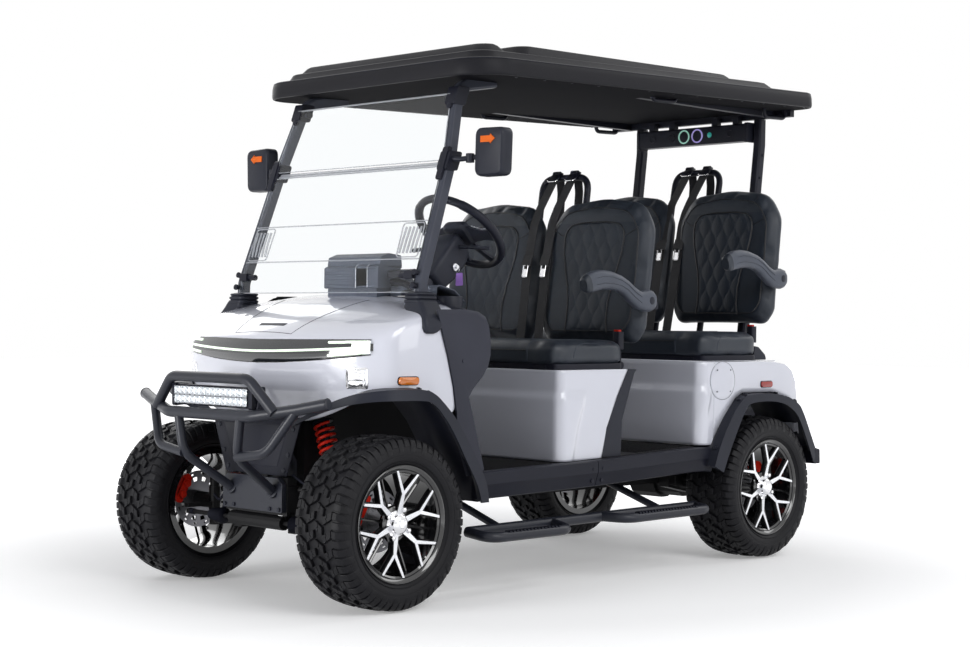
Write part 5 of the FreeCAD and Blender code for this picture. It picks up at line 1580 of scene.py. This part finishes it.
def rear_bar():
    posts = Shape()
    posts.tube(arc_path([(330, 1220, 792), (330, 1344, 1744), (330, 1346, 1855)], 60, 6), 0, flat=(45, 40),
               up=(1, 0, 0))
    posts.prism(rounded([(1188, 796), (1262, 796), (1256, 826), (1196, 826)], 6), "x", 300, 360)
    for y in (1210, 1256):
        posts.turn([(0, 7), (8, 6.5), (8, 0.3)], (361, y - 6, 814), (1, 0, 0), 6)
    for y, z in ((1322, 1600), (1340, 1700)):
        posts.turn([(0, 6), (4, 5.5), (4, 0.3)], (350.4, y, z), (1, 0, 0), 12)
    posts.both().make("rear_posts", BLACK, replaces=["rear_struts"], slot="satin_steel", bevel=4)
    bar = Shape()
    bar.prism(rounded([(1282, 1760), (1343, 1760), (1343, 1838), (1282, 1838)], 9), "x", -308, 308)
    for s in (1, -1):
        bar.prism(rounded([(1279, 1756), (1345, 1756), (1345, 1842), (1279, 1842)], 9), "x", s * 294, s * 309.4)
        for x in (120, 235):
            bar.box(s * x - 16, s * x + 16, 1296, 1326, 1838, 1872)
    bar.make("sound_bar", BLACK, replaces=["soundbar"], slot="trim_black", bevel=1.5)
    for x, material, name in ((-37, (0.30, 0.75, 0.55), "left"), (37, (0.45, 0.35, 0.95), "right")):
        ring = Shape()
        ring.turn([(3.2 * math.cos(TAU * k / 8), 28 + 3.2 * math.sin(TAU * k / 8)) for k in range(8)],
                  (x, 1280.5, 1799), (0, -1, 0), 48)
        ring.make("sound_ring_" + name, glowing("ring_" + name, material, 0.5, (0.3, 0.3, 0.35)), smooth=50)
    cones = Shape()
    for x, r in ((-37, 24), (37, 24)):
        cones.turn([(-6, 0.3), (-2, r * 0.3), (-8, r * 0.45), (1, r)], (x, 1281, 1799), (0, -1, 0), 32, closed=False)
    for x in (-105, -215, 215):
        cones.turn([(0, 16), (1.5, 15), (-2, 13), (-2, 0.3)], (x, 1281, 1799), (0, -1, 0), 32, closed=False)
    cones.make("sound_cones", DARK, smooth=40)
    lamp = Shape()
    lamp.turn([(0, 12), (2, 10), (3, 0.3)], (105, 1281, 1799), (0, -1, 0), 24, closed=False)
    lamp.make("sound_lamp", glowing("teal_lamp", (0.05, 0.5, 0.42), 0.35, (0.02, 0.2, 0.18)), smooth=50)
# Bumper, lamp bar, suspension and steps

def bumper():
    pipes = Shape()
    main = [(508, -1262, 690), (400, -1300, 668), (230, -1358, 640)]
    main = [(-x, y, z) for x, y, z in main] + main[::-1]
    pipes.tube(arc_path(main, [0, 120, 120, 120, 120, 0], 8), 20, 24)
    hoop = [(-330, -1338, 655), (-215, -1358, 765), (215, -1358, 765), (330, -1338, 655)]
    pipes.tube(arc_path(hoop, 70, 10), 18.5, 24)
    for s in (1, -1):
        leg = [(s * 175, -1358, 640), (s * 150, -1353, 500), (s * 115, -1166, 370)]
        pipes.tube(arc_path(leg, 90, 10), 16, 20)
        pipes.tube(arc_path([(s * 400, -1300, 668), (s * 300, -1348, 520), (s * 150, -1353, 500)], 80, 10), 16, 20)
        pipes.turn([(0, 21), (4, 21), (7, 17), (7, 0.3)], (s * 508, -1262, 690), (s * 0.92, 0.33, 0.18), 24)
        pipes.turn([(-6, 0.3), (-6, 24), (2, 24), (4, 16)], (s * 115, -1170, 372), (0, -1, 0.5), 24)
    plate = rounded([(-165, 300), (165, 300), (165, 400), (140, 420), (-140, 420), (-165, 400)], 8)
    pipes.prism(plate, "y", -1170, -1150.3)
    pipes.make("bull_bar", STEEL, replaces=["front_bumper"], slot="satin_steel", bevel=1.5, smooth=40)
    bolts = Shape()
    for x in (-60, 60):
        for z in (335, 385):
            bolts.turn([(0, 5.5), (-6, 5.4), (-6, 0.3)], (x, -1170.2, z), (0, -1, 0), 20, closed=False)
    for x in (-150, -100, 100, 150):
        bolts.turn([(0, 0.3), (0, 8), (5, 7.6), (6, 0.3)], (x, -1170, 312), (0, -1, 0), 6)
    for s in (1, -1):
        for x, z in ((205, 590), (178, 500), (155, 445)):
            bolts.turn([(0, 0.3), (0, 9), (3, 8), (4, 0.3)], (s * x, -1155.5, z), (0, -1, 0), 20)
    bolts.make("front_bolts", DARK, smooth=40)
    skirt = Shape()
    outline = [(-249, 631), (249, 631), (169, 426), (-169, 426)]
    skirt.prism(outline, "y", -1150.4, -1154, inset=(0.97, -1.6))
    skirt.prism([(x * 0.72, 528 + (z - 528) * 0.72) for x, z in outline], "y", -1154, -1156, inset=(0.96, -2))
    skirt.make("front_skirt", BLACK, replaces=["front_valance"], slot="trim_black", bevel=1)


def light_bar():
    case = Shape()
    case.prism(rounded([(-1345, 664), (-1294, 668), (-1294, 734), (-1345, 738)], 8), "x", -212, 212)
    for s in (1, -1):
        case.prism(rounded([(-1350, 660), (-1292, 664), (-1292, 738), (-1350, 742)], 9), "x", s * 205, s * 225)
        for y, z in ((-1335, 676), (-1335, 726), (-1306, 701)):
            case.turn([(0, 0.3), (0, 6), (3, 5.6), (3.5, 0.3)], (s * 225, y, z), (s, 0, 0), 12)
        case.tube([(s * 232, -1320, 701), (s * 232, -1330, 660)], 7, 10)
        case.turn([(0, 0.3), (0, 14), (8, 14), (9, 12), (9, 0.3)], (s * 226, -1320, 701), (s, 0, 0), 20)
    for k in range(26):
        x = -200 + 16 * k
        case.box(x, x + 4, -1296, -1286, 670, 732)
    case.make("lamp_bar_case", BLACK, replaces=["light_bar"], slot="trim_black", bevel=1)
    cells, lit = Shape(), Shape()
    cells.box(-202, 202, -1346.5, -1344, 671, 731, 0)
    for row in (686, 716):
        for k in range(14):
            x = -188.5 + 29 * k
            square = rounded([(x - 13.5, row - 14), (x + 13.5, row - 14), (x + 13.5, row + 14), (x - 13.5, row + 14)],
                             4, 3)
            rows = [[(a, -1353, b) for a, b in square],
                    [(x + (a - x) * 0.92, -1353.5, row + (b - row) * 0.92) for a, b in square],
                    [(x + (a - x) * 0.40, -1347.5, row + (b - row) * 0.40) for a, b in square]]
            cells.grid(rows, 1, ring=True)
            lit.turn([(0, 5.2), (2.6, 3.8), (3.4, 0.3)], (x, -1347.5, row), (0, -1, 0), 12, closed=False)
    cells.make("lamp_bar_cells", [DARK, SILVER], smooth=30)
    lit.make("lamp_bar_beads", LIT, smooth=60)
    face = Shape()
    face.prism(rounded([(-203, 670), (203, 670), (203, 732), (-203, 732)], 5), "y", -1355.5, -1354)
    face.make("lamp_bar_lens", LENS, smooth=30)


def springs():
    """Coil springs round their dampers, leaning in from the lower arms to the frame."""
    coil, damper = Shape(), Shape()
    foot, head = Vector((348, -1030, 237)), Vector((212, -1030, 612))
    along = (head - foot).normalized()
    side = along.cross(Vector((0, 1, 0))).normalized()
    other = along.cross(side)
    length = (head - foot).length
    path = []
    turns, steps = 8.5, 20
    for k in range(int(turns * steps) + 1):
        a = TAU * k / steps
        d = length - 196 + 186 * k / (turns * steps)
        path.append(foot + along * d + side * (31 * math.cos(a)) + other * (31 * math.sin(a)))
    coil.tube(path, 5.6, 10)
    damper.turn([(0, 0.3), (0, 11), (110, 11), (110, 20), (length - 190, 20), (length - 190, 0.3)], foot, along, 24)
    damper.turn([(length - 202, 0.3), (length - 202, 36), (length - 195, 36), (length - 195, 13), (length - 4, 13),
                 (length - 4, 36), (length + 4, 34), (length + 4, 0.3)], foot, along, 28)
    damper.tube([(170.4, -1030, 600), (214, -1030, 600)], 13, 14)
    coil.both().make("spring_coils", RED, replaces=["front_springs"], slot="spring_red", smooth=60)
    damper.both().make("dampers", BLACK, smooth=40)
    bellows = Shape()
    for s in (1, -1):
        profile = [(0, 0.3)]
        for k in range(9):
            profile += [(2 + 9 * k, 22 - 0.8 * k), (6 + 9 * k, 30 - 1.2 * k)]
        profile += [(84, 12), (84, 0.3)]
        bellows.turn(profile, (s * 190, -1140, 262), (s, 0, 0), 24)
        bellows.turn([(0, 0.3), (0, 11), (26, 11), (26, 0.3)], (s * 372, -1140, 262), (s, 0, 0), 8)
    bellows.make("rack_bellows", BLACK, smooth=40)
    hoses = Shape()
    for s in (1, -1):
        hoses.tube(arc_path([(s * 160, -1120, 430), (s * 230, -1090, 380), (s * 300, -1080, 300),
                             (s * 360, -1060, 320)], 50, 6), 5, 8)
    hoses.make("brake_hoses", BLACK, smooth=40)
    for node in ("front_suspension", "steering_rack", "chassis_frame", "rear_axle", "knuckle_left", "knuckle_right"):
        repaint(node, FRAME)
    repaint("battery_pack", DARK)


def side_steps():
    tubes, treads = Shape(), Shape()
    for s in (1, -1):
        x_in, x_out = s * 560, s * 690
        tubes.tube(arc_path([(x_in, -664, 233), (x_out, -684, 225), (x_out, -280, 225), (x_in, -230, 233)], 70, 8),
                   18, 18)
        tubes.tube(arc_path([(x_in, 40, 237), (s * 665, 75, 235), (s * 665, 560, 237), (x_in, 610, 239)], 70, 8),
                   18, 18)
        tubes.tube([(x_in, -664, 233), (x_in, 610, 239)], 19, 18)
        for y in (-500, 400):
            z = 233 + (y + 664) * 6 / 1274
            tubes.tube([(x_in, y, z), (s * 260, y, 335)], 14, 14)
        for y0, y1, x in ((-600, -330, 690), (130, 500, 665)):
            for k in range(int((y1 - y0) / 18)):
                y = y0 + 18 * k
                treads.box(s * x - 12, s * x + 12, y, y + 9, 240, 245 if x > 680 else 257)
    tubes.make("step_tubes", STEEL, replaces=["side_steps"], slot="satin_steel", smooth=40)
    treads.make("step_treads", BLACK)
# Dash, steering wheel and column

POD = grained("pod_plastic", (0.085, 0.096, 0.125), 0.45)
TAG = grained("tag_plastic", (0.30, 0.16, 0.52), 0.25, grain=60.0, depth=0.00001, vary=0.45)
WHEEL_HUB = Vector((290, -450, 1290))
WHEEL_AXIS = Vector((0, 0.674909, 0.737901))


def dash():
    face = Shape()
    profile = [(-745, 1050), (-690, 1049), (-640, 1042), (-585, 1024), (-548, 1002), (-528, 978), (-521, 958),
               (-526, 938), (-548, 914), (-580, 898), (-640, 888), (-745, 882)]
    rows = []
    for x in (-559, -556, -540, -500, -460, -420, -380, 0, 380, 420, 460, 500, 540, 556, 559):
        pull = {559: 12, 556: 5}.get(abs(x), 0)
        drop = lerp([(380, 1), (430, 0.92), (470, 0.72), (510, 0.48), (559, 0.38)], abs(x))
        back = lerp([(380, 1), (460, 0.9), (500, 0.62), (540, 0.3), (559, 0.2)], abs(x))
        rows.append([(x, -640 + (y + 640) * (back if y > -640 else 1 - pull / 120),
                      965 + (z - 965) * (drop if z > 965 else 1 - pull / 85)) for y, z in profile])
    face.grid(rows, loop=True, caps=True)
    for s in (1, -1):
        cup = [(0, 38), (0, 46), (50, 47), (54, 45), (54, 40), (20, 38)]
        face.turn(cup, (s * 446, -652, 998), (0, 0, 1), 40)
        face.turn([(22, 0.3), (22, 39)], (s * 446, -652, 998), (0, 0, 1), 32, closed=False)
    face.turn([(0, 62), (7, 60), (9, 54), (5, 50), (5, 0.3)], (95, -536, 966), (0, 0.9, 0.42), 44, closed=False)
    for x0, x1 in ((-440, -110), (390, 445)):
        door = rounded([(x0, 916), (x1, 916), (x1, 986), (x0, 986)], 14)
        face.grid([[(x, -560 + shift + (z - 950) * 0.1, z) for x, z in door] for shift in (0, 34)], ring=True,
                  caps=True)
    face.make("dash_face", DARK, replaces=["dashboard"], slot="trim_black", smooth=38)
    pod = Shape()
    pod.prism(rounded([(-796, 1044), (-792, 1084), (-700, 1084), (-690, 1044)], 8), "x", -44, 222)
    pod.prism(rounded([(-799, 1078), (-799, 1152), (-782, 1160), (-690, 1160), (-680, 1082)], 7), "x", -59, 234)
    pod.prism(rounded([(-790, 1158), (-784, 1190), (-745, 1204), (-686, 1198), (-682, 1150)], 7), "x", -52, 234)
    pod.prism(rounded([(-799, 1080), (-799, 1156), (-740, 1200), (-700, 1196), (-700, 1080)], 7), "x", 118, 176)
    for k in range(7):
        pod.box(-46, 104, -801.5, -798, 1089 + 9 * k, 1093 + 9 * k)
    for x in (118, 178):
        pod.turn([(0, 10), (3, 9.4), (3.4, 0.3)], (x, -797, 1064), (0, -1, 0), 20)
    pod.make("screen_pod", POD, slot="trim_black", bevel=1.6)
    edge = Shape()
    for x in (116, 178):
        edge.tube([(x, -800, 1082), (x, -800, 1154), (x, -742, 1200)], 1.3, 6)
    edge.make("pod_edges", SILVER)
    clamp = Shape()
    clamp.prism(rounded([(-770, 1112), (-770, 1140), (-700, 1148), (-690, 1118)], 6), "x", 250, 322)
    clamp.tube([(235, -730, 1104), (300, -730, 1096), (350, -730, 1070)], 13, 12)
    clamp.turn([(0, 58), (14, 56), (22, 40), (22, 0.3)], (330, -700, 1052), (0, 0, 1), 36)
    clamp.make("pod_bracket", BLACK, bevel=2)
    tray = Shape()
    tray.grid([[(x, -742, 1052), (x, -738, 1086), (x, -722, 1090), (x, -650, 1074), (x, -600, 1036)]
               for x in (238, 300, 400, 470)])
    piece = tray.make("dash_tray", POD, smooth=40)
    shell(piece, 4)


def column():
    across = Vector((1, 0, 0))
    up = WHEEL_AXIS.cross(across).normalized()
    cover = Shape()
    rows = []
    for back, wide, high, drop in ((36, 34, 34, 0), (42, 42, 40, 0), (58, 54, 56, 4), (100, 56, 62, 8),
                                   (170, 54, 60, 10), (226, 48, 52, 8), (240, 40, 44, 6), (246, 30, 32, 4)):
        corner = rounded([(-wide, -high * 0.8), (wide, -high * 0.8), (wide, high), (-wide, high)], min(wide, high) * 0.4)
        rows.append([WHEEL_HUB - WHEEL_AXIS * back + across * a + up * (b + drop) for a, b in corner])
    cover.grid(rows, ring=True, caps=True)
    cover.tube([WHEEL_HUB - WHEEL_AXIS * 235, WHEEL_HUB - WHEEL_AXIS * 366], 30, 28)
    for s, reach in ((1, 150), (-1, 150)):
        start = WHEEL_HUB - WHEEL_AXIS * 78 + across * (s * 50)
        cover.tube([start, start + across * (s * 30), start + across * (s * reach) + up * 12], [9, 7, 8], 12)
    cover.make("column_cover", DARK, replaces=["steering_column"], slot="trim_black", bevel=1.5, smooth=40)
    key = Shape()
    barrel = WHEEL_HUB - WHEEL_AXIS * 150 + across * 52 + up * 30
    key.turn([(0, 0.3), (0, 13), (9, 13), (9, 7), (20, 7), (20, 0.3)], barrel, across, 24)
    key.tube([barrel + across * (14 + 9 * math.sin(TAU * k / 16)) + Vector((0, 4, -10 + 9 * math.cos(TAU * k / 16)))
              for k in range(17)], 1.1, 6, caps=False)
    key.make("key_switch", SILVER, smooth=40)
    tag = Shape()
    hang = barrel + Vector((20, 5, -20))
    outline = rounded([(-13, -48), (15, -46), (13, 0), (-11, -2)], 4)
    tag.grid([[hang + Vector((a * 0.8, shift + a * 0.5, b)) for a, b in outline] for shift in (0, 2.4)], ring=True,
             caps=True)
    tag.make("key_tag", TAG, bevel=0.5)


def steering_wheel():
    across = Vector((1, 0, 0))
    low = WHEEL_AXIS.cross(across).normalized()
    def at(r, a, lift=0.0):
        return WHEEL_HUB + across * (r * math.cos(a)) + low * (r * math.sin(a)) + WHEEL_AXIS * lift
    rim = Shape()
    rows = []
    steps = 120
    for k in range(steps):
        a = TAU * k / steps
        lateral = abs(math.cos(a))
        r = 15.6 + (0.8 if lateral > 0.62 else -0.8)
        rows.append([at(171 + r * math.cos(b), a, r * math.sin(b)) for b in
                     (TAU * m / 18 for m in range(18))])
    rim.grid(rows + rows[:1], ring=True)
    rim.make("wheel_rim", BLACK, "steering_wheel_body", ["steering_wheel"], "trim_black", smooth=50)
    hub, trim = Shape(), Shape()
    pad = []
    for lift, share in ((-24, 0.55), (-20, 0.85), (-8, 1.0), (6, 1.0), (14, 0.93), (18, 0.80), (19, 0.4)):
        pad.append([at(1, 0, lift) + across * (a * share) + low * (b * share) - across for a, b in
                    rounded([(-62, -44), (62, -44), (52, 58), (-52, 58)], 26)])
    hub.grid(pad, ring=True, caps=True)
    for a, wide in ((0.12, 36), (math.pi - 0.12, 36), (math.pi / 2 - 0.42, 18), (math.pi / 2 + 0.42, 18)):
        rows = []
        turn = Vector((-math.sin(a), math.cos(a)))
        for r, w, lift in ((34, wide * 1.3, -2), (70, wide, -3), (110, wide * 0.7, -4), (146, wide * 0.75, -2),
                           (164, wide * 1.1, 0)):
            mid = at(r, a, lift)
            side = across * turn.x + low * turn.y
            rows.append([mid + side * (w * p) + WHEEL_AXIS * (7 * q) for p, q in
                         ((-1, -0.6), (-0.9, 0.8), (-0.5, 1), (0.5, 1), (0.9, 0.8), (1, -0.6), (0.6, -1), (-0.6, -1))])
        hub.grid(rows, ring=True, caps=True)
        if wide > 20:
            for p in (-0.94, 0.94):
                trim.tube([at(r, a, lift + 6) + (across * turn.x + low * turn.y) * (w * p) for r, w, lift in
                           ((70, wide, -3), (110, wide * 0.7, -4), (146, wide * 0.75, -2))], 1.8, 8)
    hub.tube([at(0, 0, -20), at(0, 0, -60)], 20, 20)
    hub.make("wheel_hub", DARK, "steering_wheel_body", bevel=1.2, smooth=40)
    trim.make("wheel_trim", SILVER, "steering_wheel_body")


# Floor, light and camera

def studio():
    """Pale floor and world that show white to the camera, and soft lamps that light the cart plainly."""
    scene = bpy.context.scene
    scene.view_settings.view_transform = "Standard"
    world = bpy.data.worlds.new("studio")
    scene.world = world
    world.use_nodes = True
    nodes, links = world.node_tree.nodes, world.node_tree.links
    nodes.clear()
    rays = nodes.new("ShaderNodeLightPath")
    seen = nodes.new("ShaderNodeMath")
    seen.operation = "MAXIMUM"
    also = nodes.new("ShaderNodeMath")
    also.operation = "MAXIMUM"
    links.new(rays.outputs["Is Camera Ray"], seen.inputs[0])
    links.new(rays.outputs["Is Transmission Ray"], seen.inputs[1])
    links.new(seen.outputs[0], also.inputs[0])
    links.new(rays.outputs["Is Glossy Ray"], also.inputs[1])
    fill = nodes.new("ShaderNodeBackground")
    fill.inputs["Color"].default_value = (0.93, 0.95, 1.0, 1)
    fill.inputs["Strength"].default_value = 0.23
    pale = nodes.new("ShaderNodeBackground")
    pale.inputs["Color"].default_value = (1, 1, 1, 1)
    pale.inputs["Strength"].default_value = 1.0
    mixed = nodes.new("ShaderNodeMixShader")
    out = nodes.new("ShaderNodeOutputWorld")
    links.new(also.outputs[0], mixed.inputs["Fac"])
    links.new(fill.outputs[0], mixed.inputs[1])
    links.new(pale.outputs[0], mixed.inputs[2])
    links.new(mixed.outputs[0], out.inputs["Surface"])
    floor_material = bpy.data.materials.new("studio_floor")
    floor_material.use_nodes = True
    tree = floor_material.node_tree
    shader = tree.nodes["Principled BSDF"]
    shader.inputs["Base Color"].default_value = (0.90, 0.90, 0.905, 1)
    shader.inputs["Roughness"].default_value = 0.85
    place = tree.nodes.new("ShaderNodeTexCoord")
    away = tree.nodes.new("ShaderNodeVectorMath")
    away.operation = "LENGTH"
    tree.links.new(place.outputs["Object"], away.inputs[0])
    rise = tree.nodes.new("ShaderNodeMapRange")
    for socket, value in (("From Min", 1.4), ("From Max", 4.2), ("To Min", 0.26), ("To Max", 1.0)):
        rise.inputs[socket].default_value = value
    tree.links.new(away.outputs["Value"], rise.inputs["Value"])
    ray = tree.nodes.new("ShaderNodeLightPath")
    seen_floor = rise.outputs["Result"]
    mask = None
    for label in ("Is Camera Ray", "Is Glossy Ray", "Is Transmission Ray"):
        if mask is None:
            mask = ray.outputs[label]
            continue
        wider = tree.nodes.new("ShaderNodeMath")
        wider.operation = "MAXIMUM"
        tree.links.new(mask, wider.inputs[0])
        tree.links.new(ray.outputs[label], wider.inputs[1])
        mask = wider.outputs[0]
    strength = tree.nodes.new("ShaderNodeMath")
    strength.operation = "MULTIPLY"
    tree.links.new(seen_floor, strength.inputs[0])
    tree.links.new(mask, strength.inputs[1])
    pale_floor = tree.nodes.new("ShaderNodeEmission")
    tree.links.new(strength.outputs[0], pale_floor.inputs["Strength"])
    both = tree.nodes.new("ShaderNodeAddShader")
    tree.links.new(shader.outputs[0], both.inputs[0])
    tree.links.new(pale_floor.outputs[0], both.inputs[1])
    tree.links.new(both.outputs[0], tree.nodes["Material Output"].inputs["Surface"])
    mesh = bpy.data.meshes.new("studio_floor")
    reach = 30.0
    mesh.from_pydata([(-reach, -reach, 0), (reach, -reach, 0), (reach, reach, 0), (-reach, reach, 0)], [],
                     [(0, 1, 2, 3)])
    mesh.materials.append(floor_material)
    floor = bpy.data.objects.new("studio_floor", mesh)
    scene.collection.objects.link(floor)
    for name, place, target, size, power in (
            ("key", (6.4, -1.3, 4.8), (0.0, -0.1, 0.7), 3.6, 205),
            ("front", (-0.9, -6.6, 1.15), (0.0, -1.1, 0.65), 2.0, 205),
            ("rear", (1.0, 5.5, 4.6), (0.0, 0.4, 0.9), 4.0, 78),
            ("side", (6.5, 1.5, 2.4), (0.3, 0.2, 0.6), 3.0, 60),
            ("far", (-6.0, 1.0, 3.2), (-0.3, 0.2, 0.8), 3.5, 80)):
        lamp = bpy.data.lights.new(name, "AREA")
        lamp.shape = "SQUARE"
        lamp.size = size
        lamp.energy = power
        obj = bpy.data.objects.new(name, lamp)
        obj.location = place
        obj.rotation_euler = (Vector(target) - Vector(place)).to_track_quat("-Z", "Y").to_euler()
        scene.collection.objects.link(obj)


def camera():
    """Camera at the photograph's place and angle."""
    yaw, pitch, roll = (math.radians(a) for a in (44.48, 0.1, 0.57))
    forward = Vector((-math.sin(yaw) * math.cos(pitch), math.cos(yaw) * math.cos(pitch), -math.sin(pitch)))
    right = Vector((math.cos(yaw), math.sin(yaw), 0))
    up = right.cross(forward)
    right, up = (right * math.cos(roll) + up * math.sin(roll), up * math.cos(roll) - right * math.sin(roll))
    lens = bpy.data.cameras.new("photo_camera")
    lens.lens = 65.8
    lens.sensor_width = 36
    lens.sensor_fit = "HORIZONTAL"
    view = bpy.data.objects.new("photo_camera", lens)
    view.matrix_world = Matrix(((right.x, up.x, -forward.x, 4.905), (right.y, up.y, -forward.y, -5.013),
                                (right.z, up.z, -forward.z, 0.968), (0, 0, 0, 1)))
    bpy.context.scene.collection.objects.link(view)
    bpy.context.scene.camera = view


seat_backs()
cushions()
camera()
studio()
wheels()
front_body()
flares()
cowl_side_panels()
rockers()
seat_base()
hoops()
belts()
armrests()
rear_details(rear_body())
roof()
struts()
screens()
mirrors()
rear_bar()
bumper()
light_bar()
springs()
side_steps()
dash()
column()
steering_wheel()
